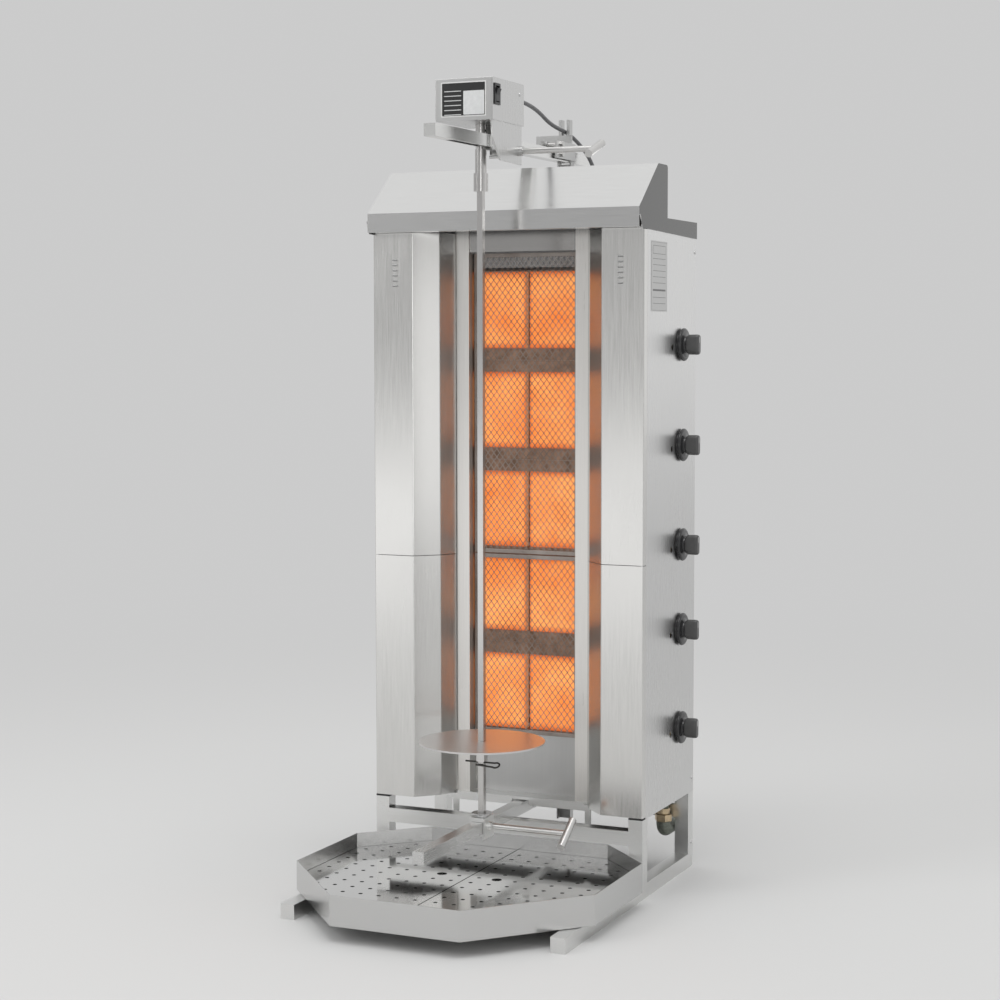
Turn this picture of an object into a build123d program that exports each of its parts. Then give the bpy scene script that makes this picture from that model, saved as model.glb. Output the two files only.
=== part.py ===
"""Vertical gas rotisserie grill (doner / gyros oven) in stainless steel, millimetres.

Frame: +Z up, floor at z = 0, the cook stands on the -Y side, X = 0 is the mid plane of the cabinet.
"""
import math
import os

from build123d import *

os.makedirs("parts", exist_ok=True)

# ---- driving dimensions -------------------------------------------------------------------------
cabinet_width = 500.0
sheet = 1.5
body_gap = 0.4                 # air between pieces that move past each other
turning_fit = 0.05             # radial play of a pin that turns in its hole

# base frame
frame_tube = 25.0
frame_wall = 2.0
runner_front = -305.0
runner_back = 296.0
front_post_y = 35.0
post_top = 135.0
cross_tube_z = 90.0
pad_height = 3.0
pad_depth = 15.0

# slide rails (square tube) for the bottom bearing and for the motor
rail_tube = 20.0
rail_wall = 2.0
lower_rail_front = -306.0
upper_rail_z = 1254.5
upper_rail_front = -255.0
upper_rail_back = 392.0
rail_play = 0.3

# cabinet
panel_front = 51.2
panel_back = 297.0
roof_z = 1142.0
roof_flange_back_z = 1113.5
roof_flange_front_z = 1120.5
roof_front_top = 12.5
roof_front_low = 20.5
panel_flange = 12.0
panel_foot_width = 20.0
panel_foot_depth = 9.0
lip_front = 12.0
lip_low = 1122.5
lip_high = 1155.0
hood_crest_y = 103.0
hood_crest_z = 1231.0
hood_back = 150.0
hood_corner = 6.0
hood_outlet_height = 22.0
hood_outlet_inset = 50.0
hood_outlet_drop = 6.0
duct_inset = 40.0
duct_front = 44.0
duct_back = 119.0

# wings (the hinged shields beside the burners)
wing_front = 35.0
wing_corner_x = 175.0
wing_knee_x = 140.0
wing_knee_y = 70.0
wing_tip_x = 124.0
wing_tip_y = 102.0
wing_return = 15.0
wing_top_gap = 0.5
wing_notch_depth = 3.5
wing_seam = 563.5
wing_seam_gap = 1.0
hinge_inset = 4.5
hinge_y = 39.0
hinge_rod_r = 2.5
hinge_tab_r = 4.0
hinge_tab_width = 13.0
hinge_tab_depth = 9.0
vent_count = 6
vent_width = 9.0
vent_height = 2.5
vent_pitch = 8.8
vent_x = 208.0
vent_low_z = 1031.5

# burner column
pillar_outer_x = 125.0
pillar_inner_x = 100.0
pillar_front = 105.0
pillar_back = 130.0
sill_top = 142.0
sill_height = 14.5
sill_half = 131.0
sill_notch_play = 6.0
sill_setback = 7.0
sill_inset = 4.0
strap_width = 11.0
strap_foot_low = 3.0
strap_foot_high = 12.0
column_top = 1128.0
fascia_low = 1090.0
fascia_setback = 3.0
cap_skirt_gap = 5.4
burner_z = (322.4, 495.4, 643.5, 816.6, 989.6)
tile_width = 92.0
tile_height = 132.0
tile_depth = 13.0
tile_seam = 8.0
plenum_depth = 44.0
guard_half_width = 98.0
guard_front = 123.0
guard_depth = 2.0
guard_border = 7.0
guard_low = 248.0
guard_high = 1088.0
guard_split = 565.0
guard_split_gap = 2.0
guard_wire = 1.4
guard_wire_count = 14
guard_clip_height = 12.0
guard_clip_inset = 30.0

# gas line
manifold_inset = 39.0
manifold_y = 250.0
manifold_r = 9.0
union_r = 13.5
union_low = 86.0
union_height = 24.0
elbow_z = 70.0
elbow_r = 12.5
elbow_bend_r = 14.0
gas_thread_r = 10.5
gas_thread_wall = 3.0
gas_thread_length = 15.0
gas_thread_end = 312.0
knob_drop = 60.0               # each knob sits this far below its burner's centre
knob_y = 222.0
knob_skirt_r = 28.5
knob_skirt_depth = 9.6
knob_reach = 33.0
knob_grip_width = 16.0
knob_grip_height = 38.0
bezel_r = 24.0
bezel_depth = 2.0
stem_r = 4.0
stem_collar = 2.5
stem_depth = 10.0
stem_end_play = 6.0
manifold_overrun = 24.0
feed_pipe_r = 4.0
peephole_r = 5.5
peephole_y = 175.0
peephole_drop = 5.0

# spit
spit_y = -63.0
spit_side = 10.0
bearing_low = 142.0
bearing_r = 17.0
bearing_flange = 2.4
bearing_neck_r = 11.0
spit_low = 148.0
collar_z = 1181.0
collar_r = 12.0
coupling_z = 1210.5
coupling_r = 9.5
shaft_z = 1249.5
shaft_r = 6.0
hub_r = 8.7
disc_z = 266.0
disc_r = 106.0
disc_thickness = 3.0
disc_socket_wall = 1.7
shaft_socket = 16.0
hub_hole_r = 2.2
clip_z = 233.0
clip_wire_r = 1.5
clip_loop = 10.8
clip_slope = 28.0

# motor head
head_half_width = 51.0
head_front = -129.0
head_back = -2.0
head_clearance = 15.5
head_wall_height = 68.0
deck_thickness = 3.0
gearbox_width = 70.0
gearbox_depth = 74.0
gearbox_height = 26.0
drum_r = 24.0
drum_clearance = 3.0
cheek_back = -9.0
cheek_depth = 64.0
cheek_step_y = 4.5
cheek_step_z = 28.0
cheek_toe = 35.0
cheek_boss = 7.5
stub_pin_end = 17.0
stub_pin_r = 2.5
stub_pin_drop = 54.0
name_plate_width = 80.0
name_plate_height = 56.0
shaft_slot_half = 6.6
shaft_slot_front = -185.0
shaft_slot_back = -54.0
saddle_wall = 5.0
saddle_front = -50.0
saddle_back = -26.0
upper_clamp_y = -18.0
upper_clamp_z = 1248.0
upper_clamp_reach = 183.5
clamp_rod_r = 5.0
bar_r = 6.5
bar_length = 63.0
upper_bar_angle = 20.0
lower_bar_angle = 33.0
lower_clamp_z = 126.0
lower_clamp_reach = 153.5
slider_front = -83.0
slider_back = -43.0
slider_wall = 3.0
rocker_y = -112.5
rocker_z = 1331.5
rocker_width = 21.0
rocker_height = 34.0
switch_depth = 14.0
rocker_tilt = 10.0

# mast
mast_front = 297.0
mast_depth = 14.0
mast_bar = 3.0
mast_rise = 56.5
mast_low = 60.0
mast_foot_width = 70.0
mast_web_gap = 2.0
mast_foot_lap = 2.0
fork_gap = 9.6
bracket_front = 222.0
bracket_lift = 3.5
bracket_height = 30.0
mast_bolt_y = 245.0
mast_bolt_r = 3.0
mast_bolt_rise = 1.5
mast_bolt_drop = 5.0
mast_nut_r = 5.0
mast_nut_height = 4.0
mast_spacer_wall = 2.5
guide_plate_left = -52.0
guide_plate_height = 15.0

# drip tray
tray_overhang = 17.0            # how far the tray reaches past the cabinet's side
tray_front = -392.0
tray_back = 90.0
tray_low = 25.4
tray_rim = 75.0
tray_front_chamfer_y = -222.0
tray_front_flat_x = 112.0
tray_back_chamfer_y = -9.0
tray_back_flat_x = 168.0
insert_top = 50.0
insert_gap = 1.0
finger_hole_r = 8.5
finger_hole_x = 50.0
finger_hole_y = -115.0

# mains cord of the motor: where it bends, from the motor head's gland to the gland on the rear cover
cord_r = 3.5
cord_points = (
    (14.0, 4.0, 1341.0),
    (14.0, 42.0, 1341.0),
    (11.5, 90.0, 1340.0),
    (7.0, 136.0, 1337.5),
    (1.5, 182.0, 1332.0),
    (-0.6, 226.0, 1320.0),
    (-0.3, 266.0, 1313.5),
    (-0.9, 307.0, 1310.5),
    (9.0, 338.0, 1296.0),
    (27.0, 357.0, 1266.0),
    (37.0, 366.0, 1226.0),
    (43.0, 370.0, 1180.0),
    (47.0, 371.0, 1138.0),
    (49.0, 362.0, 1104.0),
    (49.0, 336.0, 1080.0),
    (49.0, 299.0, 1080.0),
)
cord_gland_z = 1080.0
cord_gland_x = 49.0
gland_length = 20.0
gland_nut_r = 9.5
gland_nut_length = 5.0
gland_cap_r = 8.0
gland_cap_taper = 5

# ---- places worked out from the driving dimensions ----------------------------------------------
half = cabinet_width / 2
tray_half_width = half + tray_overhang
post_inner_x = half - frame_tube
rear_post_y = runner_back - frame_tube
post_mid_x = half - frame_tube / 2
cross_tube_top = cross_tube_z + frame_tube
lower_rail_z = cross_tube_top
rail_half = rail_tube / 2
lower_rail_mid = lower_rail_z + rail_half
upper_rail_mid = upper_rail_z + rail_half
upper_rail_top = upper_rail_z + rail_tube
inner_x = half - sheet
wing_notch_x = half - wing_notch_depth
hinge_x = half - hinge_inset
manifold_x = half - manifold_inset
mast_top = upper_rail_top + mast_rise
bracket_low = upper_rail_z + bracket_lift
bracket_high = bracket_low + bracket_height
pad_top = post_top + pad_height
column_middle_y = (pillar_front + pillar_back) / 2
flange_back = pillar_back + sheet
tile_front = flange_back + 0.5
tile_bank_half = tile_width + tile_seam / 2
tile_play = 0.5
plenum_back = tile_front + plenum_depth
plenum_half_x = tile_bank_half + tile_play + sheet
plenum_half_z = tile_height / 2 + tile_play + sheet
mixer_y = plenum_back - 16.0
mixer_drop = 45.0
mixer_r = 10.0
mixer_reach = 165.0
valve_inner_x = 212.0
valve_outer_x = 246.0
stem_end = half + bezel_depth
head_wall_low = upper_rail_top + head_clearance
head_top = head_wall_low + head_wall_height
deck_top = head_wall_low + deck_thickness
hub_low = upper_rail_top + 0.5
hub_high = head_wall_low - body_gap
wing_top = lip_low - wing_top_gap
spindle_r = spit_side / 2 - 1


def sheet_outline(points, thickness):
    """Closed outline of a bent sheet: the given side, and its copy one thickness to the left."""
    copies = []
    for index, point in enumerate(points):
        before = points[max(index - 1, 0)]
        after = points[min(index + 1, len(points) - 1)]
        if index == 0:
            before = point
        if index == len(points) - 1:
            after = point
        normals = []
        for start, end in ((before, point), (point, after)):
            run = math.dist(start, end)
            if run > 0:
                normals.append(((start[1] - end[1]) / run, (end[0] - start[0]) / run))
        if len(normals) == 1:
            normals.append(normals[0])
        (ax, ay), (bx, by) = normals
        share = thickness / (1 + ax * bx + ay * by)
        copies.append((point[0] + (ax + bx) * share, point[1] + (ay + by) * share))
    return list(points) + copies[::-1]


# ---- base frame -----------------------------------------------------------------------------------
for side, side_name in ((-1, "left"), (1, "right")):
    with BuildPart() as side_frame:
        runner_middle = (runner_front + runner_back) / 2
        runner_length = runner_back - runner_front
        with Locations((side * post_mid_x, runner_middle, frame_tube / 2)):
            Box(frame_tube, runner_length, frame_tube)
            Box(
                frame_tube - 2 * frame_wall,
                runner_length - 2 * frame_wall,
                frame_tube - 2 * frame_wall,
                mode=Mode.SUBTRACT,
            )
        for post_y in (front_post_y, rear_post_y):
            with BuildSketch(Plane.XY.offset(frame_tube)):
                with Locations((side * post_mid_x, post_y + frame_tube / 2)):
                    Rectangle(frame_tube, frame_tube)
                    Rectangle(frame_tube - 2 * frame_wall, frame_tube - 2 * frame_wall, mode=Mode.SUBTRACT)
            extrude(amount=post_top - frame_tube)
    side_frame.part.label = f"{side_name}_side_frame"
    export_step(side_frame.part, f"parts/{side_name}_side_frame.step")

with BuildPart() as cross_tubes:
    for tube_y in (front_post_y, rear_post_y):
        with BuildSketch(Plane.YZ.offset(-post_inner_x)):
            with Locations((tube_y + frame_tube / 2, cross_tube_z + frame_tube / 2)):
                Rectangle(frame_tube, frame_tube)
                Rectangle(frame_tube - 2 * frame_wall, frame_tube - 2 * frame_wall, mode=Mode.SUBTRACT)
        extrude(amount=2 * post_inner_x)
cross_tubes.part.label = "cross_tubes"
export_step(cross_tubes.part, "parts/cross_tubes.step")

with BuildPart() as lower_rail:
    with BuildSketch(Plane.XZ.offset(-lower_rail_front)):
        with Locations((0, lower_rail_mid)):
            Rectangle(rail_tube, rail_tube)
            Rectangle(rail_tube - 2 * rail_wall, rail_tube - 2 * rail_wall, mode=Mode.SUBTRACT)
    extrude(amount=lower_rail_front - runner_back)
    with Locations((0, lower_rail_front + rail_wall / 2, lower_rail_mid)):
        Box(rail_tube, rail_wall, rail_tube)
lower_rail.part.label = "lower_rail"
export_step(lower_rail.part, "parts/lower_rail.step")

with BuildPart() as post_pads:
    for side in (-1, 1):
        with BuildSketch(Plane.XY.offset(post_top)):
            with Locations((side * post_mid_x, front_post_y + pad_depth / 2)):
                Rectangle(frame_tube, pad_depth)
            with Locations((side * hinge_x, hinge_y)):
                Circle(hinge_rod_r, mode=Mode.SUBTRACT)
        extrude(amount=pad_height)
post_pads.part.label = "wing_foot_pads"
export_step(post_pads.part, "parts/wing_foot_pads.step")

with BuildPart() as hinge_rods:
    for side in (-1, 1):
        with BuildSketch(Plane.XY.offset(post_top)):
            with Locations((side * hinge_x, hinge_y)):
                Circle(hinge_rod_r)
        extrude(amount=lip_low - post_top)
hinge_rods.part.label = "wing_hinge_rods"
export_step(hinge_rods.part, "parts/wing_hinge_rods.step")

# ---- cabinet --------------------------------------------------------------------------------------
panel_top = roof_z - sheet
for side, side_name in ((-1, "left"), (1, "right")):
    with BuildPart() as side_panel:
        with BuildSketch(Plane.YZ.offset(min(side * half, side * inner_x))):
            with Locations(((panel_front + panel_back) / 2, (post_top + panel_top) / 2)):
                Rectangle(panel_back - panel_front, panel_top - post_top)
        extrude(amount=sheet)
        flange_x = side * (inner_x - panel_flange / 2)
        with Locations((flange_x, panel_front + sheet / 2, (post_top + panel_top) / 2)):
            Box(panel_flange, sheet, panel_top - post_top)
        for foot_y in (panel_front + panel_foot_depth / 2, rear_post_y + frame_tube / 2):
            with Locations((side * (inner_x - panel_foot_width / 2), foot_y, post_top + sheet / 2)):
                Box(panel_foot_width, panel_foot_depth, sheet)
        if side > 0:
            for height in burner_z:
                knob_z = height - knob_drop
                peephole_z = knob_z - peephole_drop
                with Locations(Location((half - sheet / 2, knob_y, knob_z), (0, 90, 0))):
                    Cylinder(stem_r + stem_collar, 4 * sheet, mode=Mode.SUBTRACT)
                with Locations(Location((half - sheet / 2, peephole_y, peephole_z), (0, 90, 0))):
                    Cylinder(peephole_r, 4 * sheet, mode=Mode.SUBTRACT)
    side_panel.part.label = f"{side_name}_side_panel"
    export_step(side_panel.part, f"parts/{side_name}_side_panel.step")

with BuildPart() as rear_cover:
    with BuildSketch(Plane.XZ.offset(-panel_back)):
        with Locations((0, (post_top + panel_top) / 2)):
            Rectangle(2 * inner_x, panel_top - post_top)
        with Locations((cord_gland_x, cord_gland_z)):
            Circle(cord_r + 1, mode=Mode.SUBTRACT)
    extrude(amount=sheet)
rear_cover.part.label = "rear_cover"
export_step(rear_cover.part, "parts/rear_cover.step")

with BuildPart() as roof_panel:
    with BuildSketch(Plane.XY.offset(roof_z - sheet)):
        with Locations((0, (roof_front_top + panel_back) / 2)):
            Rectangle(2 * (half + sheet), panel_back - roof_front_top)
        with Locations((0, (duct_front + duct_back) / 2)):
            Rectangle(2 * (half - duct_inset), duct_back - duct_front, mode=Mode.SUBTRACT)
    extrude(amount=sheet)
    for side in (-1, 1):
        with BuildSketch(Plane.YZ.offset(min(side * half, side * (half + sheet)))):
            with BuildLine():
                Polyline(
                    (roof_front_top, roof_z - sheet),
                    (roof_front_low, roof_flange_front_z),
                    (panel_back, roof_flange_back_z),
                    (panel_back, roof_z - sheet),
                    close=True,
                )
            make_face()
        extrude(amount=sheet)
roof_panel.part.label = "roof_panel"
export_step(roof_panel.part, "parts/roof_panel.step")

hood_half = half - 1
lip_flange_back = hinge_y + hinge_rod_r + 2
hood_points = (
    (lip_front, lip_low),
    (lip_front, lip_high),
    (hood_crest_y, hood_crest_z),
    (hood_back, hood_crest_z),
    (hood_back, roof_z),
    (lip_flange_back, roof_z),
    (lip_flange_back, lip_low),
)
with BuildPart() as hood:
    for inset in (0, sheet):
        with BuildSketch(Plane.YZ.offset(inset - hood_half)) as hood_side:
            with BuildLine():
                Polyline(*hood_points, close=True)
            make_face()
            fillet(hood_side.vertices().group_by(Axis.X)[-1].sort_by(Axis.Y)[-1], radius=hood_corner)
            if inset:
                offset(amount=-inset, kind=Kind.INTERSECTION, mode=Mode.REPLACE)
                with Locations((lip_flange_back, (lip_low + sheet + roof_z) / 2)):
                    Rectangle(8, roof_z - lip_low - sheet)
                with Locations(((lip_flange_back + hood_back) / 2, roof_z)):
                    Rectangle(hood_back - lip_flange_back - 2 * sheet, 8)
        extrude(amount=2 * (hood_half - inset), mode=Mode.SUBTRACT if inset else Mode.ADD)
    with Locations((0, (roof_front_top + lip_flange_back) / 2 + 2, (lip_low + sheet + roof_z) / 2)):
        Box(
            2 * hood_half + 2,
            lip_flange_back - roof_front_top + 4,
            roof_z - lip_low - sheet,
            mode=Mode.SUBTRACT,
        )
    with Locations((0, hood_back, (roof_z + hood_crest_z) / 2 - hood_outlet_drop)):
        Box(2 * (hood_half - hood_outlet_inset), 6 * sheet, hood_outlet_height, mode=Mode.SUBTRACT)
hood.part.label = "hood"
export_step(hood.part, "parts/hood.step")

sill_low = sill_top - sill_height
strip_front = pillar_front - sill_setback
strip_back = strip_front + 2 * sheet
strip_top = pad_top - body_gap
with BuildPart() as front_sill:
    with Locations((0, (strip_front + strip_back) / 2, (sill_low + strip_top) / 2)):
        Box(2 * sill_half, 2 * sheet, strip_top - sill_low)
    with Locations((0, (strip_front + strip_back) / 2, (sill_low + sill_top) / 2)):
        Box(2 * (wing_tip_x - sill_inset), 2 * sheet, sill_height)
    with Locations((0, (strip_front + pillar_back) / 2, sill_top - sheet)):
        Box(2 * (wing_tip_x - sill_inset), pillar_back - strip_front, 2 * sheet)
    with Locations((0, (strip_back + 3 + pillar_back) / 2, sill_top - sheet)):
        Box(2 * sill_half, pillar_back - strip_back - 3, 2 * sheet)
    with Locations((0, strip_front, lower_rail_mid)):
        Box(rail_tube + 2 * sill_notch_play, 8 * sheet, rail_tube + 4, mode=Mode.SUBTRACT)
    for side in (-1, 1):
        with BuildSketch(Plane.YZ.offset(min(side * (sill_half - strap_width), side * sill_half))):
            strap = sheet_outline(
                (
                    (front_post_y + frame_tube, cross_tube_z + strap_foot_low),
                    (front_post_y + frame_tube, cross_tube_z + strap_foot_high),
                    (strip_back, cross_tube_z + strap_foot_high),
                    (strip_back, strip_top),
                ),
                -2 * sheet,
            )
            with BuildLine():
                Polyline(*strap, close=True)
            make_face()
        extrude(amount=strap_width)
front_sill.part.label = "front_sill"
export_step(front_sill.part, "parts/front_sill.step")

# ---- wings ----------------------------------------------------------------------------------------
lower_leaf_top = wing_seam - wing_seam_gap / 2
wing_leaves = (
    ("lower", pad_top + body_gap, lower_leaf_top, lower_leaf_top),
    ("upper", wing_seam + wing_seam_gap / 2, wing_top, roof_flange_back_z),
)
for side, side_name in ((-1, "left"), (1, "right")):
    for leaf_name, leaf_low, leaf_high, leaf_tab_top in wing_leaves:
        outline = [
            (side * half, wing_front + wing_return),
            (side * half, wing_front),
            (side * wing_corner_x, wing_front),
            (side * wing_knee_x, wing_knee_y),
            (side * wing_tip_x, wing_tip_y),
        ]
        with BuildPart() as wing:
            with BuildSketch(Plane.XY.offset(leaf_low)):
                with BuildLine():
                    Polyline(*sheet_outline(outline, -side * sheet), close=True)
                make_face()
            extrude(amount=leaf_high - leaf_low)
            for tab_low in (leaf_low, leaf_tab_top - 2 * sheet):
                with BuildSketch(Plane.XY.offset(tab_low)):
                    tab_y = wing_front + sheet + hinge_tab_depth / 2
                    with Locations((side * (inner_x - hinge_tab_width / 2), tab_y)):
                        Rectangle(hinge_tab_width, hinge_tab_depth)
                    with Locations((side * hinge_x, hinge_y)):
                        Circle(hinge_tab_r)
                    with Locations((side * hinge_x, hinge_y)):
                        Circle(hinge_rod_r + turning_fit, mode=Mode.SUBTRACT)
                extrude(amount=2 * sheet)
            if leaf_name == "upper":
                notch_low = roof_flange_front_z - 3 * body_gap
                notch_x = side * (wing_notch_x + half) / 2
                with Locations((notch_x, wing_front + wing_return / 2, (notch_low + leaf_high) / 2)):
                    Box(half - wing_notch_x, 2 * wing_return, leaf_high - notch_low, mode=Mode.SUBTRACT)
                for number in range(vent_count):
                    vent_z = vent_low_z + number * vent_pitch
                    with Locations((side * vent_x, wing_front, vent_z)):
                        Box(vent_width, 4 * sheet, vent_height, mode=Mode.SUBTRACT)
        wing.part.label = f"{side_name}_wing_{leaf_name}"
        export_step(wing.part, f"parts/{side_name}_wing_{leaf_name}.step")

# ---- burner column --------------------------------------------------------------------------------
with BuildPart() as column_posts:
    for side in (-1, 1):
        with BuildSketch(Plane.XY.offset(sill_top)):
            with Locations((side * (pillar_outer_x + pillar_inner_x) / 2, column_middle_y)):
                Rectangle(pillar_outer_x - pillar_inner_x, pillar_back - pillar_front)
                Rectangle(
                    pillar_outer_x - pillar_inner_x - 2 * frame_wall,
                    pillar_back - pillar_front - 2 * frame_wall,
                    mode=Mode.SUBTRACT,
                )
        extrude(amount=column_top - sheet - sill_top)
column_posts.part.label = "column_posts"
export_step(column_posts.part, "parts/column_posts.step")

with BuildPart() as column_cap:
    fascia_front = pillar_front + fascia_setback
    fascia_half = pillar_inner_x - body_gap
    skirt_low = burner_z[-1] + plenum_half_z + cap_skirt_gap
    with Locations((0, fascia_front + sheet / 2, (fascia_low + column_top) / 2)):
        Box(2 * fascia_half, sheet, column_top - fascia_low)
    with Locations((0, (pillar_front + flange_back) / 2, column_top - sheet / 2)):
        Box(2 * pillar_outer_x, flange_back - pillar_front, sheet)
    with Locations((0, flange_back - sheet / 2, (skirt_low + column_top) / 2)):
        Box(2 * fascia_half, sheet, column_top - skirt_low)
column_cap.part.label = "column_cap"
export_step(column_cap.part, "parts/column_cap.step")

with BuildPart() as lower_back_panel:
    low_panel_top = burner_z[0] - plenum_half_z - 2
    with Locations((0, pillar_back + sheet / 2, (sill_top + low_panel_top) / 2)):
        Box(2 * (pillar_outer_x - 3), sheet, low_panel_top - sill_top)
lower_back_panel.part.label = "lower_back_panel"
export_step(lower_back_panel.part, "parts/lower_back_panel.step")

guards = (
    ("lower", guard_low, guard_split - guard_split_gap / 2),
    ("upper", guard_split + guard_split_gap / 2, guard_high),
)
for guard_name, guard_bottom, guard_top in guards:
    with BuildPart() as mesh_guard:
        guard_middle = (guard_bottom + guard_top) / 2
        with BuildSketch(Plane.XZ.offset(-(guard_front + guard_depth))):
            with Locations((0, guard_middle)):
                Rectangle(2 * guard_half_width, guard_top - guard_bottom)
                Rectangle(
                    2 * (guard_half_width - guard_border),
                    guard_top - guard_bottom - 2 * guard_border,
                    mode=Mode.SUBTRACT,
                )
        extrude(amount=guard_depth)
        wire_pitch = 2 * (guard_half_width - guard_border) / (guard_wire_count + 1)
        for number in range(guard_wire_count):
            wire_x = guard_border - guard_half_width + (number + 1) * wire_pitch
            with Locations((wire_x, guard_front + guard_depth / 2, guard_middle)):
                Box(guard_wire, guard_wire, guard_top - guard_bottom - guard_border)
        for side in (-1, 1):
            for clip_height in (guard_bottom + guard_clip_inset, guard_top - guard_clip_inset):
                clip_length = pillar_inner_x - guard_half_width
                clip_x = side * (guard_half_width + clip_length / 2 - 0.5)
                with Locations((clip_x, guard_front + guard_depth / 2, clip_height)):
                    Box(clip_length + 1, guard_depth, guard_clip_height)
    mesh_guard.part.label = f"mesh_guard_{guard_name}"
    export_step(mesh_guard.part, f"parts/mesh_guard_{guard_name}.step")

with BuildPart() as burner_housings:
    chamber_front = tile_front + tile_depth
    chamber_depth = plenum_depth - tile_depth - sheet
    flange_joins = [(low + high) / 2 for low, high in zip(burner_z, burner_z[1:])]
    flange_lows = [burner_z[0] - plenum_half_z] + [join + body_gap / 2 for join in flange_joins]
    flange_highs = [join - body_gap / 2 for join in flange_joins] + [burner_z[-1] + plenum_half_z]
    for height, flange_low, flange_high in zip(burner_z, flange_lows, flange_highs):
        with Locations((0, (flange_back + plenum_back) / 2, height)):
            Box(2 * plenum_half_x, plenum_back - flange_back, 2 * plenum_half_z)
        with Locations((0, pillar_back + sheet / 2, (flange_low + flange_high) / 2)):
            Box(2 * (pillar_outer_x - 3), sheet, flange_high - flange_low)
        with Locations((0, (pillar_back + chamber_front) / 2, height)):
            Box(
                2 * (plenum_half_x - sheet),
                chamber_front - pillar_back,
                2 * (plenum_half_z - sheet),
                mode=Mode.SUBTRACT,
            )
        with Locations((0, chamber_front + chamber_depth / 2, height)):
            Box(2 * (plenum_half_x - 8), chamber_depth, 2 * (plenum_half_z - 8), mode=Mode.SUBTRACT)
        mixer_z = height - mixer_drop
        with Locations(Location(((plenum_half_x + mixer_reach) / 2, mixer_y, mixer_z), (0, 90, 0))):
            Cylinder(mixer_r, mixer_reach - plenum_half_x)
            Cylinder(mixer_r - sheet, mixer_reach - plenum_half_x + 20, mode=Mode.SUBTRACT)
burner_housings.part.label = "burner_housings"
export_step(burner_housings.part, "parts/burner_housings.step")

with BuildPart() as ceramic_tiles:
    for height in burner_z:
        for side in (-1, 1):
            tile_x = side * (tile_width + tile_seam) / 2
            with Locations((tile_x, tile_front + tile_depth / 2, height)):
                Box(tile_width, tile_depth, tile_height)
ceramic_tiles.part.label = "ceramic_tiles"
export_step(ceramic_tiles.part, "parts/ceramic_tiles.step")

# ---- gas line -------------------------------------------------------------------------------------
union_top = union_low + union_height
manifold_top = burner_z[-1] - knob_drop + manifold_overrun
with BuildPart() as gas_manifold:
    with BuildSketch(Plane.XY.offset(union_top)):
        with Locations((manifold_x, manifold_y)):
            Circle(manifold_r)
            Circle(manifold_r - sheet, mode=Mode.SUBTRACT)
    extrude(amount=manifold_top - sheet - union_top)
    with BuildSketch(Plane.XY.offset(manifold_top - sheet)):
        with Locations((manifold_x, manifold_y)):
            Circle(manifold_r)
    extrude(amount=sheet)
gas_manifold.part.label = "gas_manifold"
export_step(gas_manifold.part, "parts/gas_manifold.step")

neck_width = 12.0
valve_depth = 24.0
valve_height = 28.0
with BuildPart() as gas_valves:
    for height in burner_z:
        knob_z = height - knob_drop
        valve_x = (valve_inner_x + valve_outer_x) / 2
        with Locations((valve_x, knob_y, knob_z)):
            Box(valve_outer_x - valve_inner_x, valve_depth, valve_height)
        with Locations((valve_inner_x + neck_width / 2, (knob_y + manifold_y) / 2, knob_z)):
            Box(neck_width, manifold_y - knob_y, neck_width)
        with Locations(Location(((valve_outer_x + half) / 2, knob_y, knob_z), (0, 90, 0))):
            Cylinder(stem_r + stem_collar, half - valve_outer_x)
        with Locations(Location((half, knob_y, knob_z), (0, 90, 0))):
            Cylinder(stem_r + turning_fit, 2 * (stem_depth + stem_end_play), mode=Mode.SUBTRACT)
    with BuildSketch(Plane.XY.offset(union_top)):
        with Locations((manifold_x, manifold_y)):
            Circle(manifold_r)
    extrude(amount=manifold_top - union_top, mode=Mode.SUBTRACT)
gas_valves.part.label = "gas_valves"
export_step(gas_valves.part, "parts/gas_valves.step")

with BuildPart() as knob_bezels:
    for height in burner_z:
        with BuildSketch(Plane.YZ.offset(half)):
            with Locations((knob_y, height - knob_drop)):
                Circle(bezel_r)
                Circle(stem_r + stem_collar, mode=Mode.SUBTRACT)
        extrude(amount=bezel_depth)
knob_bezels.part.label = "knob_bezels"
export_step(knob_bezels.part, "parts/knob_bezels.step")

for number, height in enumerate(burner_z):
    with BuildPart() as knob:
        knob_z = height - knob_drop
        skirt_x = stem_end + body_gap
        with BuildSketch(Plane.YZ.offset(skirt_x)):
            with Locations((knob_y, knob_z)):
                Circle(knob_skirt_r)
        extrude(amount=knob_skirt_depth, taper=6)
        with BuildSketch(Plane.YZ.offset(skirt_x + knob_skirt_depth - 0.5)):
            with Locations((knob_y, knob_z)):
                SlotOverall(knob_grip_height, knob_grip_width, rotation=90)
        extrude(amount=half + knob_reach - skirt_x - knob_skirt_depth + 0.5, taper=4)
        with BuildSketch(Plane.YZ.offset(half - stem_depth)):
            with Locations((knob_y, knob_z)):
                Circle(stem_r)
        extrude(amount=skirt_x - half + stem_depth + 1)
    knob.part.label = f"burner_knob_{number + 1}"
    export_step(knob.part, f"parts/burner_knob_{number + 1}.step")

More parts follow.
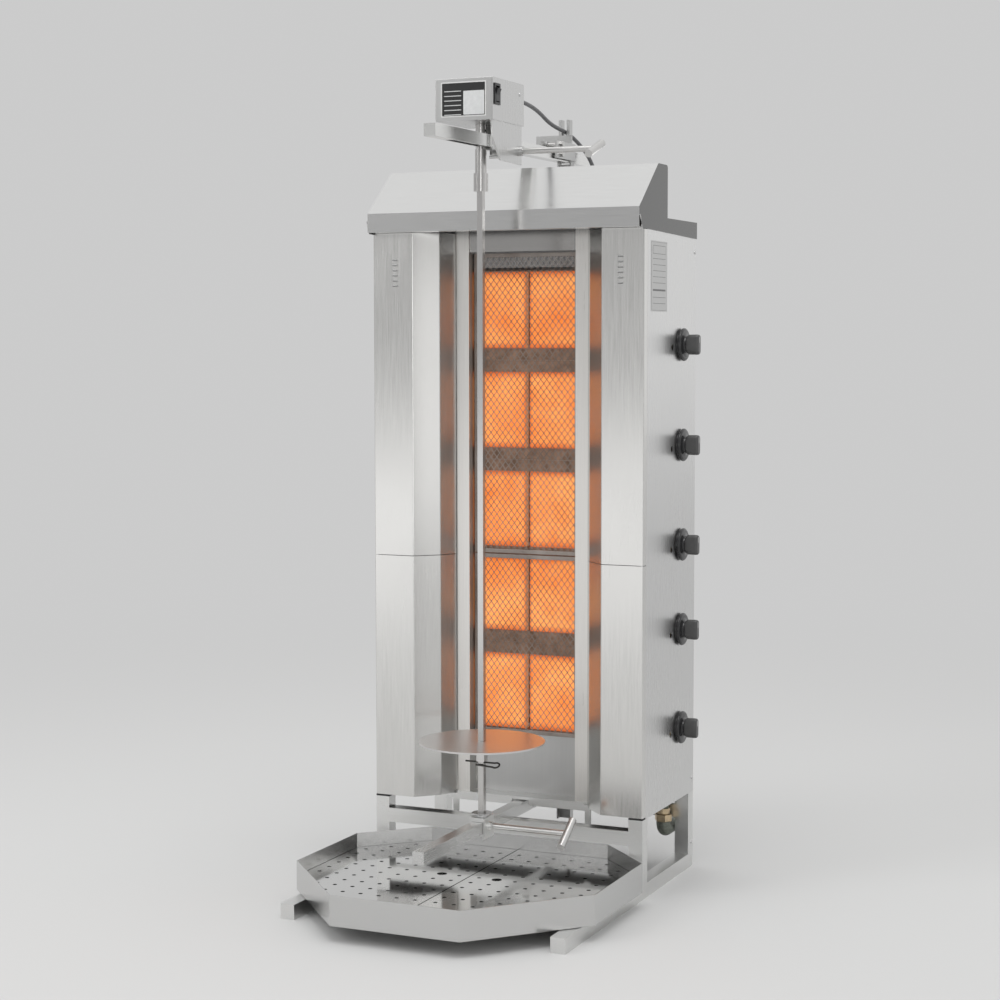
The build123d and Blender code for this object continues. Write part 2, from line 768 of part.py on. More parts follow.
with BuildPart() as feed_pipes:
    for height in burner_z:
        knob_z = height - knob_drop
        mixer_z = height - mixer_drop
        pipe_bend_x = mixer_reach + 30
        with BuildLine() as pipe_path:
            FilletPolyline(
                (valve_inner_x, knob_y, knob_z),
                (pipe_bend_x, knob_y, knob_z),
                (pipe_bend_x, mixer_y, mixer_z),
                (mixer_reach, mixer_y, mixer_z),
                radius=12,
            )
        with BuildSketch(Plane(origin=(valve_inner_x, knob_y, knob_z), z_dir=(-1, 0, 0))):
            Circle(feed_pipe_r)
        sweep(path=pipe_path.line)
        with Locations(Location((mixer_reach + 4, mixer_y, mixer_z), (0, 90, 0))):
            Cylinder(mixer_r + 1, 8)
feed_pipes.part.label = "burner_feed_pipes"
export_step(feed_pipes.part, "parts/burner_feed_pipes.step")

with BuildPart() as gas_union:
    with BuildSketch(Plane.XY.offset(union_low)):
        with Locations((manifold_x, manifold_y)):
            RegularPolygon(union_r, 6, major_radius=False)
    extrude(amount=union_top - union_low)
gas_union.part.label = "gas_inlet_union"
export_step(gas_union.part, "parts/gas_inlet_union.step")

with BuildPart() as gas_elbow:
    with BuildLine() as elbow_path:
        FilletPolyline(
            (manifold_x, manifold_y, union_low),
            (manifold_x, manifold_y, elbow_z),
            (manifold_x, gas_thread_end - gas_thread_length, elbow_z),
            radius=elbow_bend_r,
        )
    with BuildSketch(Plane.XY.offset(union_low)):
        with Locations((manifold_x, manifold_y)):
            Circle(elbow_r)
    sweep(path=elbow_path.line)
    with BuildSketch(Plane.XZ.offset(-gas_thread_end)):
        with Locations((manifold_x, elbow_z)):
            Circle(gas_thread_r)
            Circle(gas_thread_r - gas_thread_wall, mode=Mode.SUBTRACT)
    extrude(amount=gas_thread_length)
gas_elbow.part.label = "gas_elbow"
export_step(gas_elbow.part, "parts/gas_elbow.step")

# ---- mast and upper rail --------------------------------------------------------------------------
mast_inner = rail_half + body_gap
with BuildPart() as mast:
    for side in (-1, 1):
        bar_x = side * (mast_inner + mast_bar / 2)
        with Locations((bar_x, mast_front + mast_depth / 2, (mast_low + bracket_high) / 2)):
            Box(mast_bar, mast_depth, bracket_high - mast_low)
        prong_x = side * (fork_gap / 2 + mast_inner) / 2
        prong_low = upper_rail_top + body_gap
        with Locations((prong_x, mast_front + mast_depth / 2, (prong_low + mast_top) / 2)):
            Box(mast_inner - fork_gap / 2, mast_depth, mast_top - prong_low)
    web_top = upper_rail_z - mast_web_gap
    with Locations((0, mast_front + mast_depth - mast_bar / 2, (mast_low + web_top) / 2)):
        Box(2 * mast_inner + 2 * mast_bar, mast_bar, web_top - mast_low)
    foot_back = mast_front + mast_foot_lap
    with Locations((0, (runner_back + foot_back) / 2, cross_tube_z + frame_tube / 2)):
        Box(mast_foot_width, foot_back - runner_back, frame_tube)
mast.part.label = "mast"
export_step(mast.part, "parts/mast.step")

cheek_inner = mast_inner + mast_bar
cheek_outer = cheek_inner + mast_bar
mast_bolt_heights = (upper_rail_mid + mast_bolt_rise, bracket_high - mast_bolt_drop)
with BuildPart() as mast_bracket:
    for side in (-1, 1):
        with Locations(
            (
                side * (cheek_inner + mast_bar / 2),
                (bracket_front + mast_front + mast_depth) / 2,
                (bracket_low + bracket_high) / 2,
            )
        ):
            Box(mast_bar, mast_front + mast_depth - bracket_front, bracket_high - bracket_low)
    for height in mast_bolt_heights:
        with Locations(Location((0, mast_bolt_y, height), (0, 90, 0))):
            Cylinder(mast_bolt_r + mast_spacer_wall, 2 * cheek_inner)
    with Locations((0, mast_bolt_y, upper_rail_mid)):
        Box(2 * rail_half, 8 * mast_bolt_r, 2 * bracket_high, mode=Mode.SUBTRACT)
    for height in mast_bolt_heights:
        with Locations(Location((0, mast_bolt_y, height), (0, 90, 0))):
            Cylinder(mast_bolt_r, 4 * cheek_inner, mode=Mode.SUBTRACT)
    with Locations(
        (
            (guide_plate_left + cheek_outer) / 2,
            mast_front - 4,
            bracket_high + guide_plate_height / 2,
        )
    ):
        Box(cheek_outer - guide_plate_left, mast_bar, guide_plate_height)
mast_bracket.part.label = "mast_bracket"
export_step(mast_bracket.part, "parts/mast_bracket.step")

with BuildPart() as mast_bolts:
    for height in mast_bolt_heights:
        with Locations(Location((0, mast_bolt_y, height), (0, 90, 0))):
            Cylinder(mast_bolt_r, 2 * cheek_outer)
        for side in (-1, 1):
            with BuildSketch(Plane.YZ.offset(min(side * cheek_outer, side * (cheek_outer + mast_nut_height)))):
                with Locations((mast_bolt_y, height)):
                    RegularPolygon(mast_nut_r, 6, major_radius=False)
            extrude(amount=mast_nut_height)
mast_bolts.part.label = "mast_bolts"
export_step(mast_bolts.part, "parts/mast_bolts.step")

with BuildPart() as upper_rail:
    with BuildSketch(Plane.XZ.offset(-upper_rail_front)):
        with Locations((0, upper_rail_mid)):
            Rectangle(rail_tube, rail_tube)
            Rectangle(rail_tube - 2 * rail_wall, rail_tube - 2 * rail_wall, mode=Mode.SUBTRACT)
    extrude(amount=upper_rail_front - upper_rail_back)
    with Locations((0, upper_rail_front + rail_wall / 2, upper_rail_mid)):
        Box(rail_tube, rail_wall, rail_tube)
    with BuildSketch(Plane.XY.offset(upper_rail_z - 1)):
        with Locations((0, (shaft_slot_front + shaft_slot_back) / 2)):
            SlotOverall(shaft_slot_back - shaft_slot_front, 2 * shaft_slot_half, rotation=90)
    extrude(amount=rail_tube + 2, mode=Mode.SUBTRACT)
    with Locations(Location((0, mast_bolt_y, mast_bolt_heights[0]), (0, 90, 0))):
        Cylinder(mast_bolt_r, 2 * rail_tube, mode=Mode.SUBTRACT)
upper_rail.part.label = "upper_rail"
export_step(upper_rail.part, "parts/upper_rail.step")

# ---- motor head -----------------------------------------------------------------------------------
rocker_bay_width = rocker_width - 4
rocker_bay_height = rocker_height - 5
with BuildPart() as motor_housing:
    head_middle = (head_front + head_back) / 2
    head_depth = head_back - head_front
    with Locations((0, head_middle, (head_wall_low + head_top) / 2)):
        Box(2 * head_half_width, head_depth, head_wall_height)
    with Locations((0, head_middle, (head_wall_low + head_top) / 2 - sheet)):
        Box(2 * (head_half_width - sheet), head_depth - 2 * sheet, head_wall_height, mode=Mode.SUBTRACT)
    with Locations((head_half_width, rocker_y, rocker_z)):
        Box(6 * sheet, rocker_bay_width, rocker_bay_height, mode=Mode.SUBTRACT)
    with Locations((cord_points[0][0], head_back, cord_points[0][2])):
        Box(2 * (cord_r + 1), 6 * sheet, 2 * (cord_r + 1), mode=Mode.SUBTRACT)
motor_housing.part.label = "motor_housing"
export_step(motor_housing.part, "parts/motor_housing.step")

name_plate_thickness = 1.2
with BuildPart() as name_plate:
    with Locations((0, head_front - name_plate_thickness / 2, (head_wall_low + head_top) / 2)):
        Box(name_plate_width, name_plate_thickness, name_plate_height)
name_plate.part.label = "motor_name_plate"
export_step(name_plate.part, "parts/motor_name_plate.step")

rivet_r = 3.2
rivet_height = 1.6
rivet_from_back = 18.0
rivet_from_top = 18.0
with BuildPart() as housing_rivets:
    for side in (-1, 1):
        rivet_x = min(side * head_half_width, side * (head_half_width + rivet_height))
        with BuildSketch(Plane.YZ.offset(rivet_x)):
            with Locations((head_back - rivet_from_back, head_top - rivet_from_top)):
                Circle(rivet_r)
        extrude(amount=rivet_height)
housing_rivets.part.label = "housing_rivets"
export_step(housing_rivets.part, "parts/housing_rivets.step")

gearbox_top = deck_top + gearbox_height
gearbox_y = spit_y - 6
drum_x = -6.0
drum_y = spit_y - 10
with BuildPart() as gear_motor:
    with Locations((0, gearbox_y, (deck_top + gearbox_top) / 2)):
        Box(gearbox_width, gearbox_depth, gearbox_height)
    with BuildSketch(Plane.XY.offset(gearbox_top)):
        with Locations((drum_x, drum_y)):
            Circle(drum_r)
    extrude(amount=head_top - sheet - drum_clearance - gearbox_top)
    with BuildSketch(Plane.XY.offset(deck_top - 1)):
        with Locations((0, spit_y)):
            Circle(shaft_r + turning_fit)
    extrude(amount=shaft_socket + 3, mode=Mode.SUBTRACT)
gear_motor.part.label = "gear_motor"
export_step(gear_motor.part, "parts/gear_motor.step")

cheek_points = (
    (head_front + sheet, deck_top),
    (head_front + sheet, head_wall_low),
    (head_front + cheek_step_y, head_wall_low - cheek_step_z),
    (head_front + cheek_toe, head_wall_low - cheek_depth + 2),
    (cheek_back, head_wall_low - cheek_depth),
    (cheek_back, deck_top),
)
cheek_outer_x = head_half_width - sheet
boss_reach = cheek_outer_x + cheek_boss
lug_back = upper_clamp_y + clamp_rod_r + 2
lug_low = upper_clamp_z - clamp_rod_r - 2
with BuildPart() as head_chassis:
    saddle_half = rail_half + rail_play + saddle_wall
    saddle_low = upper_rail_z - rail_play - saddle_wall
    with Locations((0, head_middle, (head_wall_low + deck_top) / 2)):
        Box(2 * cheek_outer_x, head_depth - 2 * sheet, deck_thickness)
    with BuildSketch(Plane.YZ.offset(cheek_outer_x - 2 * sheet)):
        with BuildLine():
            Polyline(*cheek_points, close=True)
        make_face()
    extrude(amount=2 * sheet)
    with Locations((0, spit_y, head_wall_low)):
        Cylinder(shaft_r + 2, 4 * deck_thickness, mode=Mode.SUBTRACT)
    with Locations((0, (saddle_front + saddle_back) / 2, (saddle_low + head_wall_low) / 2)):
        Box(2 * saddle_half, saddle_back - saddle_front, head_wall_low - saddle_low)
    lug_middle = (saddle_front + lug_back) / 2
    with Locations((saddle_half - saddle_wall / 2, lug_middle, (lug_low + upper_rail_z) / 2)):
        Box(saddle_wall, lug_back - saddle_front, upper_rail_z - lug_low)
    with Locations((0, (saddle_front + saddle_back) / 2, upper_rail_mid)):
        window = rail_tube + 2 * rail_play
        Box(window, saddle_back - saddle_front, window, mode=Mode.SUBTRACT)
    with Locations(Location(((cheek_outer_x + boss_reach) / 2, upper_clamp_y, upper_clamp_z), (0, 90, 0))):
        Cylinder(clamp_rod_r + 3, boss_reach - cheek_outer_x)
    with Locations(Location((cheek_outer_x, upper_clamp_y, upper_clamp_z), (0, 90, 0))):
        Cylinder(clamp_rod_r + turning_fit, 4 * (boss_reach - cheek_outer_x), mode=Mode.SUBTRACT)
    with BuildSketch(Plane.YZ.offset(stub_pin_end)):
        with Locations((spit_y - 2, head_wall_low - stub_pin_drop)):
            Circle(stub_pin_r)
    extrude(amount=cheek_outer_x - sheet - stub_pin_end)
head_chassis.part.label = "head_chassis"
export_step(head_chassis.part, "parts/head_chassis.step")

with BuildPart() as head_gland:
    gland_x = cord_points[0][0]
    gland_z = cord_points[0][2]
    with BuildSketch(Plane.XZ.offset(-head_back)):
        with Locations((gland_x, gland_z)):
            RegularPolygon(gland_nut_r, 6, major_radius=False)
    extrude(amount=-gland_nut_length)
    with BuildSketch(Plane.XZ.offset(-(head_back + gland_nut_length))):
        with Locations((gland_x, gland_z)):
            Circle(gland_cap_r)
    extrude(amount=-gland_length, taper=gland_cap_taper)
    with Locations(Location((gland_x, head_back + 20, gland_z), (90, 0, 0))):
        Cylinder(cord_r + body_gap, 80, mode=Mode.SUBTRACT)
head_gland.part.label = "motor_cord_gland"
export_step(head_gland.part, "parts/motor_cord_gland.step")

rocker_pivot_x = head_half_width - 5
rocker_pin_r = 1.5
with BuildPart() as switch_frame:
    with Locations((head_half_width + 1, rocker_y, rocker_z)):
        Box(2, rocker_width, rocker_height)
    with Locations((head_half_width - switch_depth / 2, rocker_y, rocker_z)):
        Box(switch_depth, rocker_bay_width, rocker_bay_height)
    with Locations((head_half_width + sheet, rocker_y, rocker_z)):
        Box(2 * switch_depth, rocker_bay_width - 3, rocker_bay_height - 3, mode=Mode.SUBTRACT)
    with Locations(Location((rocker_pivot_x, rocker_y, rocker_z), (90, 0, 0))):
        Cylinder(rocker_pin_r, rocker_bay_width)
switch_frame.part.label = "switch_frame"
export_step(switch_frame.part, "parts/switch_frame.step")

rocker_lean = math.radians(rocker_tilt)
with BuildPart() as rocker:
    rocker_half = rocker_bay_height / 2 - 1.5
    rocker_side = rocker_y + (rocker_bay_width - 3) / 2 - body_gap
    rocker_face = head_half_width + 4 - rocker_pivot_x
    lean_plane = Plane(
        origin=(rocker_pivot_x, rocker_side, rocker_z),
        x_dir=(math.cos(rocker_lean), 0, -math.sin(rocker_lean)),
        z_dir=(0, -1, 0),
    )
    with BuildSketch(lean_plane):
        with BuildLine():
            Polyline(
                (-3.5, -5),
                (3.5, 1.5 - rocker_half),
                (rocker_face, 3 - rocker_half),
                (rocker_face - 1.8, 0),
                (rocker_face, rocker_half - 3),
                (3.5, rocker_half - 1.5),
                (-3.5, 5),
                close=True,
            )
        make_face()
        Circle(rocker_pin_r + turning_fit, mode=Mode.SUBTRACT)
    extrude(amount=rocker_bay_width - 3 - 2 * body_gap)
rocker.part.label = "rocker_switch"
export_step(rocker.part, "parts/rocker_switch.step")

clamps = (
    ("upper", saddle_half + body_gap, upper_clamp_reach, upper_clamp_y, upper_clamp_z, upper_bar_angle),
    ("lower", rail_half + body_gap, lower_clamp_reach, spit_y, lower_clamp_z, lower_bar_angle),
)
for clamp_name, rod_start, rod_end, rod_y, rod_z, bar_angle in clamps:
    with BuildPart() as clamp_screw:
        with BuildSketch(Plane.YZ.offset(rod_start)):
            with Locations((rod_y, rod_z)):
                Circle(clamp_rod_r)
        extrude(amount=rod_end - rod_start)
        with Locations(Location((rod_end, rod_y, rod_z), (bar_angle - 90, 0, 0))):
            Cylinder(bar_r, bar_length)
    clamp_screw.part.label = f"{clamp_name}_clamp_screw"
    export_step(clamp_screw.part, f"parts/{clamp_name}_clamp_screw.step")

# ---- spit -----------------------------------------------------------------------------------------
bearing_seat = lower_rail_z + rail_tube + rail_play + 1
with BuildPart() as spit_bar:
    with BuildSketch(Plane.XY.offset(spit_low)):
        with Locations((0, spit_y)):
            Rectangle(spit_side, spit_side)
    extrude(amount=collar_z - spit_low)
    with BuildSketch(Plane.XY.offset(bearing_seat + 1)):
        with Locations((0, spit_y)):
            Circle(spindle_r)
    extrude(amount=spit_low - bearing_seat - 1)
    with Locations(Location((0, spit_y, clip_z), (0, 90, 0))):
        Cylinder(clip_wire_r, 2 * spit_side, mode=Mode.SUBTRACT)
spit_bar.part.label = "spit_bar"
export_step(spit_bar.part, "parts/spit_bar.step")

with BuildPart() as spit_coupling:
    with BuildSketch(Plane.XY.offset(collar_z)):
        with Locations((0, spit_y)):
            Circle(collar_r)
    extrude(amount=coupling_z - collar_z)
    with BuildSketch(Plane.XY.offset(coupling_z)):
        with Locations((0, spit_y)):
            Circle(coupling_r)
    extrude(amount=shaft_z - coupling_z)
spit_coupling.part.label = "spit_coupling"
export_step(spit_coupling.part, "parts/spit_coupling.step")

with BuildPart() as drive_shaft:
    with BuildSketch(Plane.XY.offset(shaft_z)):
        with Locations((0, spit_y)):
            Circle(shaft_r)
    extrude(amount=deck_top + shaft_socket - shaft_z)
    with BuildSketch(Plane.XY.offset(hub_low)):
        with Locations((0, spit_y)):
            Circle(hub_r)
    extrude(amount=hub_high - hub_low)
    with Locations(Location((0, spit_y, hub_low + 2 * hub_hole_r), (0, 90, 0))):
        Cylinder(hub_hole_r, 4 * hub_r, mode=Mode.SUBTRACT)
drive_shaft.part.label = "drive_shaft"
export_step(drive_shaft.part, "parts/drive_shaft.step")

clip_leg = 24.0
clip_tail = -30.0
clip_lip = -8.0
clip_tilt = math.radians(clip_slope)
clip_normal = (0, -math.sin(clip_tilt), math.cos(clip_tilt))
clip_plane = Plane(origin=(0, spit_y, clip_z), x_dir=(1, 0, 0), z_dir=clip_normal)
with BuildPart() as spit_clip:
    with BuildLine(clip_plane) as clip_path:
        Line((clip_tail, 0), (clip_leg, 0))
        ThreePointArc((clip_leg, 0), (clip_leg + 0.9 * clip_loop, -clip_loop / 2), (clip_leg, -clip_loop))
        Line((clip_leg, -clip_loop), (clip_lip, 2 * clip_wire_r - clip_loop))
    with BuildSketch(Plane(origin=(clip_tail, spit_y, clip_z), z_dir=(1, 0, 0))):
        Circle(clip_wire_r)
    sweep(path=clip_path.line, transition=Transition.ROUND)
spit_clip.part.label = "spit_clip"
export_step(spit_clip.part, "parts/spit_clip.step")

disc_socket_low = clip_z + clip_wire_r + body_gap
disc_hole = spit_side + 2 * rail_play
with BuildPart() as spit_disc:
    with BuildSketch(Plane.XY.offset(disc_z)):
        with Locations((0, spit_y)):
            Circle(disc_r)
    extrude(amount=disc_thickness)
    with BuildSketch(Plane.XY.offset(disc_socket_low)):
        with Locations((0, spit_y)):
            Rectangle(disc_hole + 2 * disc_socket_wall, disc_hole + 2 * disc_socket_wall)
    extrude(amount=disc_z - disc_socket_low)
    with BuildSketch(Plane.XY.offset(disc_socket_low - 1)):
        with Locations((0, spit_y)):
            Rectangle(disc_hole, disc_hole)
    extrude(amount=disc_z + disc_thickness - disc_socket_low + 2, mode=Mode.SUBTRACT)
spit_disc.part.label = "spit_disc"
export_step(spit_disc.part, "parts/spit_disc.step")

with BuildPart() as spit_bearing:
    bearing_top = spit_low - body_gap
    for ring_r, ring_low, ring_high in (
        (bearing_neck_r, bearing_low, bearing_top - bearing_flange),
        (bearing_r, bearing_top - bearing_flange, bearing_top),
    ):
        with BuildSketch(Plane.XY.offset(ring_low)):
            with Locations((0, spit_y)):
                Circle(ring_r)
                Circle(spindle_r + turning_fit, mode=Mode.SUBTRACT)
        extrude(amount=ring_high - ring_low)
spit_bearing.part.label = "spit_bearing"
export_step(spit_bearing.part, "parts/spit_bearing.step")

with BuildPart() as lower_slider:
    slider_half = rail_half + rail_play + slider_wall
    slider_low = lower_rail_z - rail_play - slider_wall
    with Locations((0, (slider_front + slider_back) / 2, (slider_low + bearing_low) / 2)):
        Box(2 * slider_half, slider_back - slider_front, bearing_low - slider_low)
    with Locations((slider_half - slider_wall / 2, (slider_front + slider_back) / 2, slider_low - 1)):
        Box(slider_wall, slider_back - slider_front, 9)
    with Locations((0, (slider_front + slider_back) / 2, lower_rail_mid)):
        window = rail_tube + 2 * rail_play
        Box(window, slider_back - slider_front, window, mode=Mode.SUBTRACT)
    with Locations(Location((slider_half + 3.5, spit_y, lower_clamp_z), (0, 90, 0))):
        Cylinder(clamp_rod_r + 2.5, 7)
    with Locations(Location((slider_half, spit_y, lower_clamp_z), (0, 90, 0))):
        Cylinder(clamp_rod_r + turning_fit, 20, mode=Mode.SUBTRACT)
    with BuildSketch(Plane.XY.offset(bearing_seat)):
        with Locations((0, spit_y)):
            Circle(spindle_r + turning_fit)
    extrude(amount=20, mode=Mode.SUBTRACT)
lower_slider.part.label = "lower_slider"
export_step(lower_slider.part, "parts/lower_slider.step")

# ---- drip tray ------------------------------------------------------------------------------------
tray_outline = (
    (-tray_front_flat_x, tray_front),
    (tray_front_flat_x, tray_front),
    (tray_half_width, tray_front_chamfer_y),
    (tray_half_width, tray_back_chamfer_y),
    (tray_back_flat_x, tray_back),
    (-tray_back_flat_x, tray_back),
    (-tray_half_width, tray_back_chamfer_y),
    (-tray_half_width, tray_front_chamfer_y),
)
with BuildPart() as drip_tray:
    with BuildSketch(Plane.XY.offset(tray_low)) as tray_floor:
        with BuildLine():
            Polyline(*tray_outline, close=True)
        make_face()
    extrude(amount=tray_rim - tray_low)
    with BuildSketch(Plane.XY.offset(tray_low + sheet)):
        with BuildLine():
            Polyline(*tray_outline, close=True)
        make_face()
        offset(amount=-sheet, kind=Kind.INTERSECTION, mode=Mode.REPLACE)
    extrude(amount=tray_rim, mode=Mode.SUBTRACT)
drip_tray.part.label = "drip_tray"
export_step(drip_tray.part, "parts/drip_tray.step")

insert_low = tray_low + sheet + body_gap
for side, side_name in ((-1, "left"), (1, "right")):
    with BuildPart() as tray_insert:
        for inset, low, high, how in (
            (sheet + insert_gap, insert_low, insert_top, Mode.ADD),
            (2 * sheet + insert_gap, insert_low - 1, insert_top - sheet, Mode.SUBTRACT),
        ):
            with BuildSketch(Plane.XY.offset(low)):
                with BuildLine():
                    Polyline(*tray_outline, close=True)
                make_face()
                offset(amount=-inset, kind=Kind.INTERSECTION, mode=Mode.REPLACE)
                seam = inset - sheet - insert_gap / 2
                with Locations((side * (tray_half_width + seam), (tray_front + tray_back) / 2)):
                    Rectangle(2 * tray_half_width, tray_back - tray_front, mode=Mode.INTERSECT)
            extrude(amount=high - low, mode=how)
        with Locations((side * finger_hole_x, finger_hole_y, insert_top)):
            Cylinder(finger_hole_r, 6 * sheet, mode=Mode.SUBTRACT)
    tray_insert.part.label = f"tray_insert_{side_name}"
    export_step(tray_insert.part, f"parts/tray_insert_{side_name}.step")

# ---- motor cord -----------------------------------------------------------------------------------
cord_corners = [Vector(*point) for point in cord_points]
with BuildPart() as motor_cord:
    with BuildLine() as cord_path:
        cord_here = cord_corners[0]
        for before, corner, after in zip(cord_corners, cord_corners[1:], cord_corners[2:]):
            arriving = (corner - before).normalized()
            leaving = (after - corner).normalized()
            reach = 0.45 * min((corner - before).length, (after - corner).length)
            half_turn = math.radians(arriving.get_angle(leaving)) / 2
            print(f"cord bend radius {reach / math.tan(half_turn):.0f} mm")
            bend_start = corner - arriving * reach
            bend_end = corner + leaving * reach
            Line(cord_here, bend_start)
            TangentArc(bend_start, bend_end, tangent=arriving)
            cord_here = bend_end
        Line(cord_here, cord_corners[-1])
    with BuildSketch(Plane(origin=cord_points[0], z_dir=cord_path.line % 0)):
        Circle(cord_r)
    sweep(path=cord_path.line)
motor_cord.part.label = "motor_cord"
export_step(motor_cord.part, "parts/motor_cord.step")
print(f"cord length {cord_path.wires()[0].length:.0f} mm")

with BuildPart() as cover_gland:
    with BuildSketch(Plane.XZ.offset(-panel_back)):
        with Locations((cord_gland_x, cord_gland_z)):
            RegularPolygon(gland_nut_r, 6, major_radius=False)
    extrude(amount=-gland_nut_length)
    with BuildSketch(Plane.XZ.offset(-(panel_back + gland_nut_length))):
        with Locations((cord_gland_x, cord_gland_z)):
            Circle(gland_cap_r)
    extrude(amount=-gland_length, taper=gland_cap_taper)
    with Locations(Location((cord_gland_x, panel_back + 20, cord_gland_z), (90, 0, 0))):
        Cylinder(cord_r + body_gap, 80, mode=Mode.SUBTRACT)
cover_gland.part.label = "cover_cord_gland"
export_step(cover_gland.part, "parts/cover_cord_gland.step")
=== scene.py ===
import math

import bmesh
import bpy
from mathutils import Matrix, Vector


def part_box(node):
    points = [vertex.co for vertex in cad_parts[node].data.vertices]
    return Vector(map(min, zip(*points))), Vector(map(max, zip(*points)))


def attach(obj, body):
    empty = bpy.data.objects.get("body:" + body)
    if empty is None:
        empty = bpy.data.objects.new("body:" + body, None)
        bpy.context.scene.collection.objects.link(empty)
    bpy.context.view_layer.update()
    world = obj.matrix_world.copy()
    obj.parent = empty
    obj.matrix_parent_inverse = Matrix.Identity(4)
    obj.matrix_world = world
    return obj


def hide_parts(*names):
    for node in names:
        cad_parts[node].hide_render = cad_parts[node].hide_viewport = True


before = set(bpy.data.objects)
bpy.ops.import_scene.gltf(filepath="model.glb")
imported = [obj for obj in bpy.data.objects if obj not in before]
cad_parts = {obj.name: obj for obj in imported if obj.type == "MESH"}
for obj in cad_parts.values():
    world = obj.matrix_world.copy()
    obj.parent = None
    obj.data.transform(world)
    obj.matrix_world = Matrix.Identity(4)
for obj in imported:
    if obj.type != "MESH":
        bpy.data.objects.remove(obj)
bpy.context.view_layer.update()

WELD = 1e-6             # corners closer than this are one corner
BURNERS = range(1, 6)   # burners and their knobs, from the bottom up


# ---- camera ---------------------------------------------------------------------------------------
def make_camera():
    data = bpy.data.cameras.new("grill_camera")
    data.sensor_width = 36.0
    data.lens = 75.4
    camera = bpy.data.objects.new("grill_camera", data)
    camera.location = (1.4388, -3.2156, 0.9375)
    camera.rotation_euler = (math.radians(85.639), math.radians(0.072), math.radians(24.017))
    bpy.context.scene.collection.objects.link(camera)
    bpy.context.scene.camera = camera


make_camera()


# ---- small helpers --------------------------------------------------------------------------------
def link(name, data, material=None):
    """Puts a mesh or curve into the scene as a named object, with its material if it has one."""
    piece = bpy.data.objects.new(name, data)
    bpy.context.scene.collection.objects.link(piece)
    if material is not None:
        data.materials.append(material)
    return piece


def raw_mesh(bm, name):
    """Turns a bmesh into a mesh just as it is."""
    mesh = bpy.data.meshes.new(name)
    bm.to_mesh(mesh)
    bm.free()
    return mesh


def mesh_of(bm, name):
    """Turns a finished bmesh into a mesh whose faces point outwards."""
    bmesh.ops.remove_doubles(bm, verts=bm.verts, dist=WELD)
    bmesh.ops.recalc_face_normals(bm, faces=bm.faces)
    return raw_mesh(bm, name)


def walls(bm, lower, upper):
    """Joins two rings of corners by a band of faces."""
    for index in range(len(lower)):
        after = (index + 1) % len(lower)
        bm.faces.new((lower[index], lower[after], upper[after], upper[index]))


def closed_tube(bm, rings):
    """Joins a row of rings and closes both ends."""
    for lower, upper in zip(rings, rings[1:]):
        walls(bm, lower, upper)
    bm.faces.new(list(reversed(rings[0])))
    bm.faces.new(rings[-1])


def smooth_by_angle(piece, degrees=35):
    for polygon in piece.data.polygons:
        polygon.use_smooth = True
    piece.data.set_sharp_from_angle(angle=math.radians(degrees))
    return piece


def settle(piece):
    """Applies a piece's modifiers and leaves a plain mesh."""
    depsgraph = bpy.context.evaluated_depsgraph_get()
    mesh = bpy.data.meshes.new_from_object(piece.evaluated_get(depsgraph))
    piece.modifiers.clear()
    piece.data = mesh
    return piece


def round_edges(piece, width):
    modifier = piece.modifiers.new("edge_round", "BEVEL")
    modifier.width = width
    modifier.segments = 2
    modifier.limit_method = "ANGLE"
    modifier.angle_limit = math.radians(30)
    return settle(piece)


def span(node):
    """Lowest and highest corner of a node's box."""
    low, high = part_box(node)
    return Vector(low), Vector(high)


def centre(node):
    low, high = span(node)
    return (low + high) / 2


# ---- materials ------------------------------------------------------------------------------------
MIX_A, MIX_B, MIX_OUT = 6, 7, 2     # the colour sockets of a Mix node


def shaded(tone, factor):
    return tuple(channel * factor for channel in tone)


